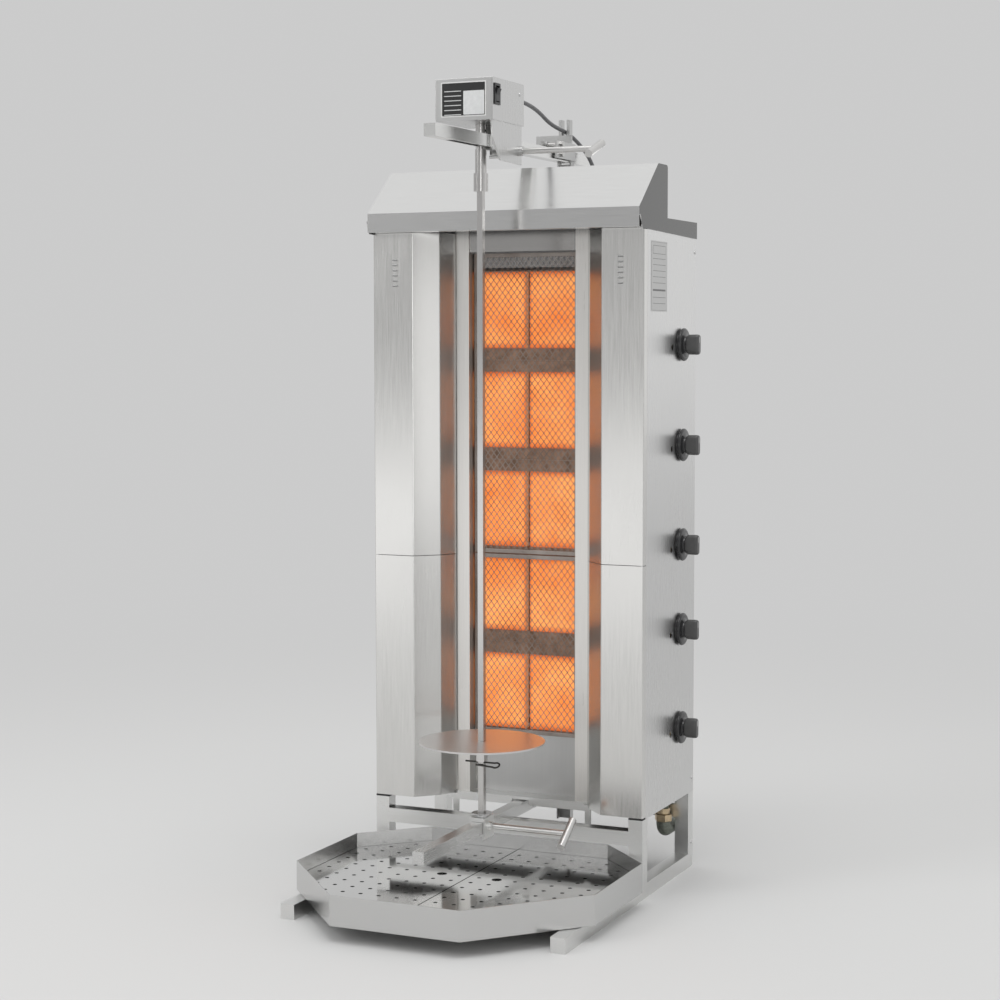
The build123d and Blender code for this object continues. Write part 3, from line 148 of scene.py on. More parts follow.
class Finish:
    """One node material, built up by short calls."""

    def __init__(self, name):
        self.material = bpy.data.materials.new(name)
        self.material.use_nodes = True
        self.tree = self.material.node_tree
        self.shader = self.tree.nodes["Principled BSDF"]
        self.coords = self.tree.nodes.new("ShaderNodeTexCoord")

    def node(self, kind, **settings):
        made = self.tree.nodes.new(kind)
        for key, value in settings.items():
            setattr(made, key, value)
        return made

    def wire(self, output, target):
        self.tree.links.new(output, target)

    def noise(self, scale, stretch=(1, 1, 1), detail=4.0, roughness=0.6):
        mapping = self.node("ShaderNodeMapping")
        mapping.inputs["Scale"].default_value = stretch
        self.wire(self.coords.outputs["Object"], mapping.inputs["Vector"])
        noise = self.node("ShaderNodeTexNoise")
        noise.inputs["Scale"].default_value = scale
        noise.inputs["Detail"].default_value = detail
        noise.inputs["Roughness"].default_value = roughness
        self.wire(mapping.outputs["Vector"], noise.inputs["Vector"])
        return noise.outputs["Fac"]

    def spread(self, value, low, high, start=0.3, end=0.7):
        remap = self.node("ShaderNodeMapRange")
        remap.inputs["From Min"].default_value = start
        remap.inputs["From Max"].default_value = end
        remap.inputs["To Min"].default_value = low
        remap.inputs["To Max"].default_value = high
        self.wire(value, remap.inputs["Value"])
        return remap.outputs["Result"]

    def blend(self, factor, first, second):
        mix = self.node("ShaderNodeMix", data_type="RGBA")
        self.wire(factor, mix.inputs["Factor"])
        for socket, colour in ((mix.inputs[MIX_A], first), (mix.inputs[MIX_B], second)):
            if isinstance(colour, tuple):
                socket.default_value = (*colour, 1)
            else:
                self.wire(colour, socket)
        return mix.outputs[MIX_OUT]

    def math(self, operation, *values):
        """One step of arithmetic on node outputs and plain numbers."""
        made = self.node("ShaderNodeMath", operation=operation)
        for socket, value in zip(made.inputs, values):
            if isinstance(value, float):
                socket.default_value = value
            else:
                self.wire(value, socket)
        return made.outputs[0]

    def along(self, source, axis):
        """One axis of a texture coordinate, such as Object or Normal."""
        split = self.node("ShaderNodeSeparateXYZ")
        self.wire(self.coords.outputs[source], split.inputs["Vector"])
        return split.outputs[axis]

    def tint(self, pattern, first, second):
        """Colours the surface between two tones."""
        self.paint(self.blend(self.spread(pattern, 0, 1), first, second))

    def paint(self, colour):
        self.wire(colour, self.shader.inputs["Base Color"])

    def roughen(self, pattern, low, high):
        self.wire(self.spread(pattern, low, high), self.shader.inputs["Roughness"])

    def bump(self, height, strength, distance):
        bump = self.node("ShaderNodeBump")
        bump.inputs["Strength"].default_value = strength
        bump.inputs["Distance"].default_value = distance
        self.wire(height, bump.inputs["Height"])
        self.wire(bump.outputs["Normal"], self.shader.inputs["Normal"])

    def set(self, **values):
        for key, value in values.items():
            socket = self.shader.inputs[key.replace("_", " ")]
            socket.default_value = (*value, 1) if isinstance(value, tuple) else value


LONG = 0.02             # share of the noise frequency along the grain
GRAIN = {"X": (LONG, 1, 1), "Y": (1, LONG, 1), "Z": (1, 1, LONG), "level": (LONG, LONG, 1)}


def brushed_steel(name, along, tone, rough, grain=900.0, depth=0.0, streak=1.0, ends=None):
    """Ground stainless sheet: fine lines one way, faint smears and a soft change of shine.

    Where ends is given, faces that look sideways have that tone: painted shade on the end faces.
    """
    finish = Finish(name)
    lines = finish.noise(grain, GRAIN[along], detail=2.0)
    smear = finish.noise(4.0, detail=2.0)
    darker = shaded(tone, 1 - 0.05 * streak)
    lighter = shaded(tone, 1 + 0.03 * streak)
    colour = finish.blend(finish.spread(lines, 0, 1), darker, lighter)
    # painted shade: faces that look sideways take the darker end tone
    if ends is not None:
        sideways = finish.math("ABSOLUTE", finish.along("Normal", "X"))
        colour = finish.blend(finish.math("GREATER_THAN", sideways, 0.9), colour, ends)
    finish.paint(colour)
    ground = finish.spread(lines, rough - 0.03 * streak, rough + 0.04 * streak)
    shine = finish.math("ADD", ground, finish.spread(smear, -0.015, 0.025))
    finish.wire(shine, finish.shader.inputs["Roughness"])
    if depth:
        finish.bump(lines, depth, 0.0001)
    finish.set(Metallic=1.0)
    return finish.material


def mirror_steel(name, tone, rough):
    """Bright rolled stainless sheet, with a faint waviness and small scuffs."""
    finish = Finish(name)
    wave = finish.noise(6.0, detail=1.0)
    scuffs = finish.noise(420.0, (1, 0.25, 1), detail=5.0)
    finish.roughen(scuffs, rough - 0.015, rough + 0.04)
    finish.tint(wave, shaded(tone, 0.94), tone)
    finish.bump(wave, 0.08, 0.0005)
    finish.set(Metallic=1.0)
    return finish.material


def dark_metal(name, tone=(0.05, 0.048, 0.045), rough=0.45):
    finish = Finish(name)
    blotch = finish.noise(60.0, detail=5.0)
    finish.tint(blotch, tone, shaded(tone, 2.2))
    finish.roughen(blotch, rough - 0.1, rough + 0.12)
    finish.bump(blotch, 0.2, 0.0002)
    finish.set(Metallic=0.9)
    return finish.material


def heated_wire(name):
    """Guard wire that has been hot for years: brown and grey, with no shine."""
    finish = Finish(name)
    patch = finish.noise(14.0, detail=4.0)
    finish.tint(patch, (0.20, 0.165, 0.145), (0.42, 0.38, 0.35))
    finish.roughen(patch, 0.38, 0.6)
    finish.set(Metallic=0.8)
    return finish.material


def burner_heights():
    """Middle height of each burner, read from the knobs, which stand a fixed drop below them."""
    knob_drop = 0.060
    return [centre(f"burner_knob_{number}").z + knob_drop for number in BURNERS]


def glowing_ceramic(name):
    """Burner tile in use: hot orange with rows of fine flame holes, cooler at its edges and seam."""
    edge, inside_edge = 0.067, 0.054        # away from the burner's middle height
    seam, beside_seam = 0.002, 0.009        # away from the joint between two tiles
    finish = Finish(name)
    cloud = finish.noise(11.0, detail=3.0)
    colour = finish.blend(finish.spread(cloud, 0, 1), (0.80, 0.19, 0.030), (0.92, 0.36, 0.10))
    holes = finish.node("ShaderNodeTexVoronoi", feature="F1")
    holes.inputs["Scale"].default_value = 520.0
    holes.inputs["Randomness"].default_value = 0.0
    finish.wire(finish.coords.outputs["Object"], holes.inputs["Vector"])
    rim = finish.spread(holes.outputs["Distance"], 0.0, 1.0, 0.18, 0.42)
    heart = finish.blend(rim, (0.52, 0.085, 0.012), colour)
    up = finish.along("Object", "Z")
    away = [finish.math("ABSOLUTE", finish.math("SUBTRACT", up, height)) for height in burner_heights()]
    nearest = away[0]
    for distance in away[1:]:
        nearest = finish.math("MINIMUM", nearest, distance)
    across = finish.math("ABSOLUTE", finish.along("Object", "X"))
    warm = finish.math(
        "MULTIPLY",
        finish.spread(nearest, 0.0, 1.0, edge, inside_edge),
        finish.spread(across, 0.0, 1.0, seam, beside_seam),
    )
    front = finish.blend(warm, (0.46, 0.085, 0.022), heart)
    facing = finish.spread(finish.along("Normal", "Y"), 0.0, 1.0, -0.5, -0.9)
    final = finish.blend(facing, (0.42, 0.19, 0.09), front)
    finish.paint(final)
    finish.wire(final, finish.shader.inputs["Emission Color"])
    finish.bump(rim, 0.5, 0.0008)
    finish.set(Emission_Strength=0.79, Roughness=0.85)
    return finish.material


def brass(name, tone, rough=0.34):
    finish = Finish(name)
    tarnish = finish.noise(70.0, detail=5.0)
    finish.tint(tarnish, shaded(tone, 0.62), tone)
    finish.roughen(tarnish, rough - 0.08, rough + 0.15)
    finish.bump(tarnish, 0.15, 0.0002)
    finish.set(Metallic=1.0)
    return finish.material


def cast_fitting(name):
    finish = Finish(name)
    grains = finish.noise(260.0, detail=6.0)
    finish.tint(grains, (0.13, 0.14, 0.12), (0.25, 0.27, 0.23))
    finish.roughen(grains, 0.4, 0.62)
    finish.bump(grains, 0.4, 0.0004)
    finish.set(Metallic=0.75)
    return finish.material


def moulded_plastic(name, tone, rough, speckle=0.15):
    finish = Finish(name)
    grains = finish.noise(900.0, detail=3.0)
    wear = finish.noise(30.0, detail=4.0)
    lighter = tuple(channel * 1.5 + 0.004 for channel in tone)
    finish.tint(wear, tone, lighter)
    finish.roughen(wear, rough - 0.05, rough + 0.08)
    finish.bump(grains, speckle, 0.0001)
    return finish.material


def cord_jacket(name):
    finish = Finish(name)
    grains = finish.noise(700.0, detail=3.0)
    finish.tint(grains, (0.10, 0.10, 0.105), (0.15, 0.15, 0.155))
    finish.roughen(grains, 0.42, 0.58)
    finish.bump(grains, 0.2, 0.0002)
    return finish.material


def printed_field(name, tone, rough):
    """A bare printed or anodised field, with a faint unevenness."""
    finish = Finish(name)
    haze = finish.noise(160.0, detail=4.0)
    finish.tint(haze, shaded(tone, 0.9), tone)
    finish.roughen(haze, rough - 0.05, rough + 0.08)
    return finish.material


SHEET = brushed_steel("sheet_upright_grain", "Z", tone=(0.70, 0.70, 0.695), rough=0.28, depth=0.03, streak=0.7)
# the hood's sideways ends carry a painted shade tone
HOOD = brushed_steel(
    "hood_sheet", "X", tone=(0.65, 0.65, 0.645), rough=0.18, depth=0.02, streak=0.7, ends=(0.115, 0.115, 0.113)
)
WING = brushed_steel("wing_sheet", "Z", tone=(0.70, 0.695, 0.68), rough=0.22, depth=0.03)
HEAD = brushed_steel("head_sheet", "Z", tone=(0.57, 0.57, 0.565), rough=0.27, grain=700.0, streak=0.25)
TUBE_Y = brushed_steel("tube_along_depth", "Y", tone=(0.75, 0.75, 0.74), rough=0.30, grain=500.0, streak=0.5)
TUBE_X = brushed_steel("tube_along_width", "X", tone=(0.75, 0.75, 0.74), rough=0.30, grain=500.0, streak=0.5)
# darker copy of the ground steel, painted shade on the mast and its bracket; the lower back panel takes it too
SHADED_STEEL = brushed_steel("steel_painted_shade", "Z", tone=(0.49, 0.49, 0.485), rough=0.32, grain=400.0, streak=0.5)
UPPER_RAIL = brushed_steel("upper_rail_tube", "Y", tone=(0.72, 0.72, 0.71), rough=0.24, grain=400.0, streak=0.4)
LOW_RAIL = brushed_steel("lower_rail_tube", "Y", tone=(0.63, 0.63, 0.625), rough=0.26, streak=0.2)
TRAY = brushed_steel("tray_sheet", "level", tone=(0.62, 0.62, 0.615), rough=0.24, streak=0.3)
BRIGHT = mirror_steel("insert_sheet", tone=(0.79, 0.79, 0.78), rough=0.07)
# half-tone copy of the wing steel: painted shade on the pressed vent lips
SHADED_LIP = brushed_steel("vent_lip_painted_shade", "X", tone=(0.36, 0.36, 0.355), rough=0.45, streak=0.5)
INNER = mirror_steel("column_sheet", tone=(0.46, 0.45, 0.44), rough=0.20)
PILLAR = brushed_steel("pillar_finish", "Z", tone=(0.72, 0.705, 0.68), rough=0.30, streak=0.8)
SPIT = brushed_steel("spit_bar_finish", "Z", tone=(0.58, 0.57, 0.56), rough=0.20, grain=500.0, streak=0.5)
DISC = brushed_steel("disc_finish", "X", tone=(0.67, 0.66, 0.65), rough=0.34, grain=500.0, streak=0.5)
ROD = mirror_steel("clamp_rod_finish", tone=(0.62, 0.62, 0.62), rough=0.14)
CLAMP = brushed_steel("clamp_screw_finish", "X", tone=(0.56, 0.555, 0.545), rough=0.30, grain=500.0)
DARK = dark_metal("blackened_steel")
GUARD = heated_wire("guard_wire_finish")
HOT_TILE = glowing_ceramic("hot_tile")
BURNER_CASE = dark_metal("burner_case_finish", tone=(0.22, 0.145, 0.105), rough=0.5)
BRASS = brass("union_brass", tone=(0.75, 0.60, 0.40))
COPPER = brass("feed_pipe_copper", tone=(0.52, 0.26, 0.15), rough=0.3)
CAST = cast_fitting("elbow_casting")
KNOB = moulded_plastic("knob_grip_plastic", (0.05, 0.05, 0.05), 0.30, speckle=0.05)
KNOB_RING = moulded_plastic("knob_ring_plastic", (0.012, 0.012, 0.013), 0.12, speckle=0.02)
SWITCH = moulded_plastic("switch_plastic", (0.008, 0.008, 0.009), 0.3, speckle=0.05)
PLATE = printed_field("plate_black_field", (0.014, 0.014, 0.014), 0.35)
PALE = printed_field("plate_pale_field", (0.70, 0.71, 0.71), 0.4)
FOIL = printed_field("foil_label_field", (0.52, 0.52, 0.515), 0.38)
RULE = printed_field("label_rule_grey", (0.16, 0.16, 0.16), 0.5)
ALLOY = cast_fitting("gearbox_alloy")
JACKET = cord_jacket("cord_jacket")
MARK = printed_field("knob_mark_white", (0.75, 0.75, 0.74), 0.5)
PAD = moulded_plastic("pad_rubber", (0.012, 0.012, 0.012), 0.7)

NODE_FINISH = {
    "left_side_frame": TUBE_Y,
    "right_side_frame": TUBE_Y,
    "cross_tubes": TUBE_X,
    "lower_rail": LOW_RAIL,
    "upper_rail": UPPER_RAIL,
    "mast": SHADED_STEEL,
    "mast_bracket": SHADED_STEEL,
    "mast_bolts": CLAMP,
    "wing_hinge_rods": ROD,
    "wing_foot_pads": PAD,
    "left_side_panel": SHEET,
    "right_side_panel": SHEET,
    "rear_cover": SHEET,
    "roof_panel": HOOD,
    "hood": HOOD,
    "front_sill": TUBE_X,
    "left_wing_upper": WING,
    "left_wing_lower": WING,
    "right_wing_upper": WING,
    "right_wing_lower": WING,
    "column_posts": PILLAR,
    "column_cap": INNER,
    "lower_back_panel": SHADED_STEEL,
    "burner_housings": BURNER_CASE,
    "ceramic_tiles": HOT_TILE,
    "gas_manifold": CAST,
    "gas_valves": BRASS,
    "knob_bezels": KNOB_RING,
    "burner_feed_pipes": COPPER,
    "gas_inlet_union": BRASS,
    "gas_elbow": CAST,
    "motor_housing": HEAD,
    "motor_name_plate": PLATE,
    "housing_rivets": ROD,
    "head_chassis": HEAD,
    "gear_motor": ALLOY,
    "switch_frame": SWITCH,
    "rocker_switch": SWITCH,
    "motor_cord_gland": JACKET,
    "cover_cord_gland": JACKET,
    "upper_clamp_screw": CLAMP,
    "lower_clamp_screw": CLAMP,
    "spit_bar": SPIT,
    "spit_coupling": SPIT,
    "drive_shaft": SPIT,
    "spit_clip": DARK,
    "spit_disc": DISC,
    "spit_bearing": ROD,
    "lower_slider": TUBE_Y,
    "drip_tray": TRAY,
    "tray_insert_left": BRIGHT,
    "tray_insert_right": BRIGHT,
    "mesh_guard_lower": GUARD,
    "mesh_guard_upper": GUARD,
    "motor_cord": JACKET,
}


def dress_nodes():
    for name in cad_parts:
        node = bpy.data.objects[name]
        finish = KNOB if name.startswith("burner_knob") else NODE_FINISH[name]
        node.data.materials.clear()
        node.data.materials.append(finish)


dress_nodes()


# ---- rounded folds of the sheet pieces ------------------------------------------------------------
FOLD_RADIUS = 0.0012
WING_FOLD_RADIUS = 0.0014


def broad(face):
    """Tells a side of the sheet from its cut edge."""
    narrowest_side = 0.005
    longest = max(edge.calc_length() for edge in face.edges)
    return face.calc_area() / longest > narrowest_side


def rounded_folds(node, body, finish, radius, join_flats=True):
    """The node's own shape with the outside of its folds rounded, as a press leaves them."""
    shortest_fold = 0.02
    flat = math.radians(0.5)
    folded = math.radians(12)
    bm = bmesh.new()
    bm.from_mesh(bpy.data.objects[node].data)
    bmesh.ops.remove_doubles(bm, verts=bm.verts, dist=WELD)
    if join_flats:
        bmesh.ops.dissolve_limit(bm, angle_limit=flat, verts=bm.verts, edges=bm.edges)
    folds = []
    for edge in bm.edges:
        if len(edge.link_faces) != 2 or edge.calc_length() < shortest_fold:
            continue
        if edge.calc_face_angle_signed() > folded and all(broad(face) for face in edge.link_faces):
            folds.append(edge)
    bmesh.ops.bevel(
        bm,
        geom=folds,
        offset=radius,
        offset_type="OFFSET",
        segments=4,
        profile=0.5,
        affect="EDGES",
        clamp_overlap=True,
    )
    piece = link(f"{node}_sheet", raw_mesh(bm, f"{node}_sheet"), finish)
    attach(piece, body)
    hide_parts(node)


for side in ("left", "right"):
    for leaf in ("upper", "lower"):
        rounded_folds(f"{side}_wing_{leaf}", f"{side}_{leaf}_wing", WING, WING_FOLD_RADIUS)
    rounded_folds(f"{side}_side_panel", "frame", SHEET, FOLD_RADIUS)
rounded_folds("drip_tray", "tray", TRAY, FOLD_RADIUS, join_flats=False)
rounded_folds("motor_housing", "motor_head", HEAD, FOLD_RADIUS)
rounded_folds("hood", "frame", HOOD, FOLD_RADIUS)


# ---- motor cord -----------------------------------------------------------------------------------
CORD_POINTS = (
    (0.014, 0.004, 1.341),
    (0.014, 0.042, 1.341),
    (0.0115, 0.090, 1.340),
    (0.007, 0.136, 1.3375),
    (0.0015, 0.182, 1.332),
    (-0.0006, 0.226, 1.320),
    (-0.0003, 0.266, 1.3135),
    (-0.0009, 0.307, 1.3105),
    (0.009, 0.338, 1.296),
    (0.027, 0.357, 1.266),
    (0.037, 0.366, 1.226),
    (0.043, 0.370, 1.180),
    (0.047, 0.371, 1.138),
    (0.049, 0.362, 1.104),
    (0.049, 0.336, 1.080),
    (0.049, 0.299, 1.080),
)
CORD_RADIUS = 0.0035


def motor_cord():
    curve = bpy.data.curves.new("motor_cord_line", "CURVE")
    curve.dimensions = "3D"
    curve.bevel_depth = CORD_RADIUS
    curve.bevel_resolution = 4
    curve.use_fill_caps = True
    spline = curve.splines.new("NURBS")
    spline.points.add(len(CORD_POINTS) - 1)
    for point, place in zip(spline.points, CORD_POINTS):
        point.co = (*place, 1)
    spline.order_u = 3
    spline.use_endpoint_u = True
    spline.resolution_u = 8
    cord = link("motor_cord_jacket", curve, JACKET)
    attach(cord, "frame")
    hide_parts("motor_cord")


motor_cord()


# ---- diamond mesh of the burner guards ------------------------------------------------------------
def wire_tree():
    """Thick round wire along every edge of the incoming mesh."""
    sides = 5
    tree = bpy.data.node_groups.new("guard_wire", "GeometryNodeTree")
    tree.interface.new_socket("Geometry", in_out="INPUT", socket_type="NodeSocketGeometry")
    tree.interface.new_socket("Wire Radius", in_out="INPUT", socket_type="NodeSocketFloat")
    tree.interface.new_socket("Wire Finish", in_out="INPUT", socket_type="NodeSocketMaterial")
    tree.interface.new_socket("Geometry", in_out="OUTPUT", socket_type="NodeSocketGeometry")
    entry = tree.nodes.new("NodeGroupInput")
    leave = tree.nodes.new("NodeGroupOutput")
    lines = tree.nodes.new("GeometryNodeMeshToCurve")
    round_section = tree.nodes.new("GeometryNodeCurvePrimitiveCircle")
    round_section.inputs["Resolution"].default_value = sides
    tube = tree.nodes.new("GeometryNodeCurveToMesh")
    real = tree.nodes.new("GeometryNodeRealizeInstances")
    coat = tree.nodes.new("GeometryNodeSetMaterial")
    tree.links.new(entry.outputs["Geometry"], lines.inputs["Mesh"])
    tree.links.new(entry.outputs["Wire Radius"], round_section.inputs["Radius"])
    tree.links.new(lines.outputs["Curve"], tube.inputs["Curve"])
    tree.links.new(round_section.outputs["Curve"], tube.inputs["Profile Curve"])
    tree.links.new(tube.outputs["Mesh"], real.inputs["Geometry"])
    tree.links.new(real.outputs["Geometry"], coat.inputs["Geometry"])
    tree.links.new(entry.outputs["Wire Finish"], coat.inputs["Material"])
    tree.links.new(coat.outputs["Geometry"], leave.inputs["Geometry"])
    return tree


def set_input(modifier, name, value):
    for item in modifier.node_group.interface.items_tree:
        if item.item_type == "SOCKET" and item.in_out == "INPUT" and item.name == name:
            modifier[item.identifier] = value


def diamond_guard(which, tree):
    """Diamond mesh in a flat frame: strands cross at each lattice point and stand a little proud."""
    node = f"mesh_guard_{which}"
    low, high = span(node)
    middle_y = (low.y + high.y) / 2
    half_width = 0.098
    border = 0.007
    half_cell_x = 0.0053
    half_cell_z = 0.0071
    weave = 0.0005
    wire_radius = 0.0007
    border_round = 0.0006
    columns = int(2 * (half_width - border / 2) / half_cell_x) // 2 * 2
    rows = int((high.z - low.z - border) / half_cell_z) // 2 * 2
    pitch_x = 2 * (half_width - border / 2) / columns
    pitch_z = (high.z - low.z - border) / rows
    bm = bmesh.new()
    knots = {}
    for column in range(columns + 1):
        for row in range(rows + 1):
            if (column + row) % 2 == 0:
                x = (column - columns / 2) * pitch_x
                z = low.z + border / 2 + row * pitch_z
                proud = weave if row % 2 else -weave
                knots[column, row] = bm.verts.new((x, middle_y + proud, z))
    for (column, row), knot in knots.items():
        for step in (-1, 1):
            upper = knots.get((column + step, row + 1))
            if upper is not None:
                bm.edges.new((knot, upper))
    strands = link(f"{node}_strands", raw_mesh(bm, f"{node}_strands"), GUARD)
    modifier = strands.modifiers.new("wire", "NODES")
    modifier.node_group = tree
    set_input(modifier, "Wire Radius", wire_radius)
    set_input(modifier, "Wire Finish", GUARD)
    settle(strands)

    bm = bmesh.new()
    outer = [(-half_width, low.z), (half_width, low.z), (half_width, high.z), (-half_width, high.z)]
    inner = [(x - math.copysign(border, x), z + (border if z == low.z else -border)) for x, z in outer]
    rings = []
    for y in (low.y, high.y):
        rings.append([bm.verts.new((x, y, z)) for x, z in outer])
        rings.append([bm.verts.new((x, y, z)) for x, z in inner])
    for first, second in ((0, 1), (1, 3), (3, 2), (2, 0)):
        walls(bm, rings[first], rings[second])
    border_mesh = mesh_of(bm, f"{node}_border")
    frame_piece = round_edges(link(f"{node}_border", border_mesh, GUARD), border_round)
    for piece in (strands, frame_piece):
        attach(piece, "frame")
    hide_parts(node)


GUARD_TREE = wire_tree()
diamond_guard("lower", GUARD_TREE)
diamond_guard("upper", GUARD_TREE)


# ---- tray inserts with drain holes ----------------------------------------------------------------
def octagon(inset):
    """Outline of the drip tray, taken in by a distance, from the tray's own corners."""
    low, high = span("drip_tray")
    front_flat = 0.112
    back_flat = 0.168
    front_chamfer = -0.222
    back_chamfer = -0.009
    corners = [
        (-front_flat, low.y),
        (front_flat, low.y),
        (high.x, front_chamfer),
        (high.x, back_chamfer),
        (back_flat, high.y),
        (-back_flat, high.y),
        (low.x, back_chamfer),
        (low.x, front_chamfer),
    ]
    taken_in = []
    for index, corner in enumerate(corners):
        before = Vector(corners[index - 1])
        here = Vector(corner)
        after = Vector(corners[(index + 1) % 8])
        first = (here - before).normalized()
        second = (after - here).normalized()
        normals = Vector((-first.y, first.x)) + Vector((-second.y, second.x))
        share = inset / (1 + first.dot(second))
        taken_in.append(here + normals * share)
    return taken_in


def half_outline(side, inset, seam):
    """The part of the tray outline on one side of the seam, walked anticlockwise."""
    points = octagon(inset)
    if side > 0:
        chosen = [points[1], points[2], points[3], points[4]]
    else:
        chosen = [points[5], points[6], points[7], points[0]]
    first = Vector((side * seam, chosen[0].y))
    last = Vector((side * seam, chosen[-1].y))
    return [first] + chosen + [last]


def prism(bm, outline, low, high):
    closed_tube(bm, [[bm.verts.new((point.x, point.y, z)) for point in outline] for z in (low, high)])


def inside(point, outline):
    for index, corner in enumerate(outline):
        after = outline[(index + 1) % len(outline)]
        if (point - corner).cross(after - corner) > 0:
            return False
    return True


def drill(bm, place, radius, segments):
    bmesh.ops.create_cone(
        bm,
        cap_ends=True,
        segments=segments,
        radius1=radius,
        radius2=radius,
        depth=0.008,
        matrix=Matrix.Translation(place),
    )


def tray_insert(side, name):
    node = f"tray_insert_{name}"
    low, high = span(node)
    sheet = 0.0015
    gap = 0.001
    finger_hole = 0.0085
    finger_clear = 0.020
    drain_hole = 0.0036
    drain_inset = 0.018
    drain_seam = 0.012
    drain_first_x = 0.018
    drain_pitch_x = 0.0325
    drain_pitch_y = 0.0333
    bm = bmesh.new()
    prism(bm, half_outline(side, sheet + gap, gap), low.z, high.z)
    plate = link(f"{node}_plate", mesh_of(bm, f"{node}_plate"), BRIGHT)
    bm = bmesh.new()
    prism(bm, half_outline(side, 2 * sheet + gap, gap + sheet), low.z - 0.01, high.z - sheet)
    drain = half_outline(side, drain_inset, drain_seam)
    finger = Vector((side * 0.050, -0.115))
    for row in range(-8, 6):
        for column in range(8):
            spot = Vector((side * (drain_first_x + column * drain_pitch_x), finger.y + row * drain_pitch_y))
            if inside(spot, drain) and (spot - finger).length >= finger_clear:
                drill(bm, (spot.x, spot.y, high.z), drain_hole, 18)
    drill(bm, (finger.x, finger.y, high.z), finger_hole, 36)
    bmesh.ops.recalc_face_normals(bm, faces=bm.faces)
    cutter = link(f"{node}_cutter", raw_mesh(bm, f"{node}_cutter"))
    cut = plate.modifiers.new("drill", "BOOLEAN")
    cut.operation = "DIFFERENCE"
    cut.solver = "EXACT"
    cut.use_self = True
    cut.object = cutter
    settle(plate)
    bpy.data.objects.remove(cutter)
    smooth_by_angle(plate, 40)
    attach(plate, f"{name}_insert")
    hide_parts(node)


tray_insert(-1, "left")
tray_insert(1, "right")


# ---- plates and labels ----------------------------------------------------------------------------
def rounded_rectangle(width, height, radius, steps=6):
    points = []
    for corner_x, corner_y, start in ((1, 1, 0), (-1, 1, 90), (-1, -1, 180), (1, -1, 270)):
        for step in range(steps + 1):
            angle = math.radians(start + 90 * step / steps)
            x = corner_x * (width / 2 - radius) + radius * math.cos(angle)
            y = corner_y * (height / 2 - radius) + radius * math.sin(angle)
            points.append((x, y))
    return points


def slab(name, material, place, outline, thickness):
    """A flat plate: outline in the plate's own plane, thickness towards the plane's +Z."""
    bm = bmesh.new()
    closed_tube(bm, [[bm.verts.new(place @ Vector((x, y, z))) for x, y in outline] for z in (0, thickness)])
    return link(name, mesh_of(bm, name), material)


FACING_FRONT = Matrix(((1, 0, 0), (0, 0, -1), (0, 1, 0))).to_4x4()
FACING_RIGHT = Matrix(((0, 0, 1), (1, 0, 0), (0, 1, 0))).to_4x4()


def plate_layers(base, body, layers):
    """Stacks thin fields of different finish on one place; gives back the first.

    Each layer is its name, finish, place across and up, width, height and thickness.
    """
    pieces = []
    for name, material, across, up, wide, tall, thickness in layers:
        place = base @ Matrix.Translation((across, up, 0))
        corner = min(0.0015, 0.4 * tall)
        piece = slab(name, material, place, rounded_rectangle(wide, tall, corner), thickness)
        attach(piece, body)
        pieces.append(piece)
    return pieces[0]


def motor_plate():
    low, high = span("motor_name_plate")
    middle = (low + high) / 2
    width = high.x - low.x
    height = high.z - low.z
    base = Matrix.Translation((middle.x, high.y, middle.z)) @ FACING_FRONT
    border_width = 0.002
    inner_width = width - 2 * border_width
    inner_height = height - 2 * border_width
    layers = [
        ("motor_plate_border", MARK, 0.0, 0.0, width, height, 0.0008),
        ("motor_plate_field", PLATE, 0.0, 0.0, inner_width, inner_height, 0.0010),
        ("motor_plate_blank", PALE, 0.0184, -0.006, 0.037, 0.038, 0.00115),
    ]
    for line in range(6):
        up = 0.013 - 0.0075 * line
        layers.append((f"motor_plate_rule_{line + 1}", PALE, -0.019, up, 0.030, 0.0012, 0.00115))
    border = plate_layers(base, "motor_head", layers)
    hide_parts("motor_name_plate")


def rating_plate():
    """Blank foil plate on the right panel, held by its glue, with an empty box and plain ruled lines."""
    panel_x = span("right_side_panel")[1].x
    base = Matrix.Translation((panel_x, 0.1055, 1.0435)) @ FACING_RIGHT
    layers = [
        ("rating_plate_foil", FOIL, 0.0, 0.0, 0.079, 0.117, 0.0003),
        ("rating_plate_outline", RULE, 0.0, 0.0, 0.0752, 0.1132, 0.00036),
        ("rating_plate_field", FOIL, 0.0, 0.0, 0.0744, 0.1124, 0.00042),
        ("rating_plate_box", RULE, 0.0, 0.044, 0.062, 0.014, 0.00048),
        ("rating_plate_box_field", FOIL, 0.0, 0.044, 0.0606, 0.0126, 0.00054),
    ]
    for line, up in enumerate((0.029, 0.019, 0.009, -0.001, -0.011, -0.035, -0.045)):
        layers.append((f"rating_plate_rule_{line + 1}", RULE, 0.0, up, 0.062, 0.0007, 0.00048))
    layers.append(("rating_plate_heavy_rule", RULE, 0.0, -0.023, 0.062, 0.0030, 0.00048))
    plate_layers(base, "frame", layers)


motor_plate()
rating_plate()


# ---- louvres of the vents -------------------------------------------------------------------------
def louvres(side, name):
    """A pressed lip over each vent slot of an upper wing."""
    count = 6
    lowest_slot = 1.0315
    pitch = 0.0088
    middle_x = side * 0.208
    half_width = 0.0050
    section = ((0.0, 0.0019), (-0.0003, 0.0013), (-0.0005, 0.0004), (-0.0004, -0.0006), (0.0, 0.0002))
    front = span(f"{name}_wing_upper")[0].y
    for number in range(count):
        slot_z = lowest_slot + pitch * number
        bm = bmesh.new()
        rings = []
        for x in (middle_x - half_width, middle_x + half_width):
            rings.append([bm.verts.new((x, front + out, slot_z + up)) for out, up in section])
        closed_tube(bm, rings)
        label = f"{name}_vent_louvre_{number + 1}"
        # the lips take the darker lip steel as painted shade
        lip = smooth_by_angle(link(label, mesh_of(bm, label), SHADED_LIP), 50)
        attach(lip, f"{name}_upper_wing")


louvres(-1, "left")
louvres(1, "right")


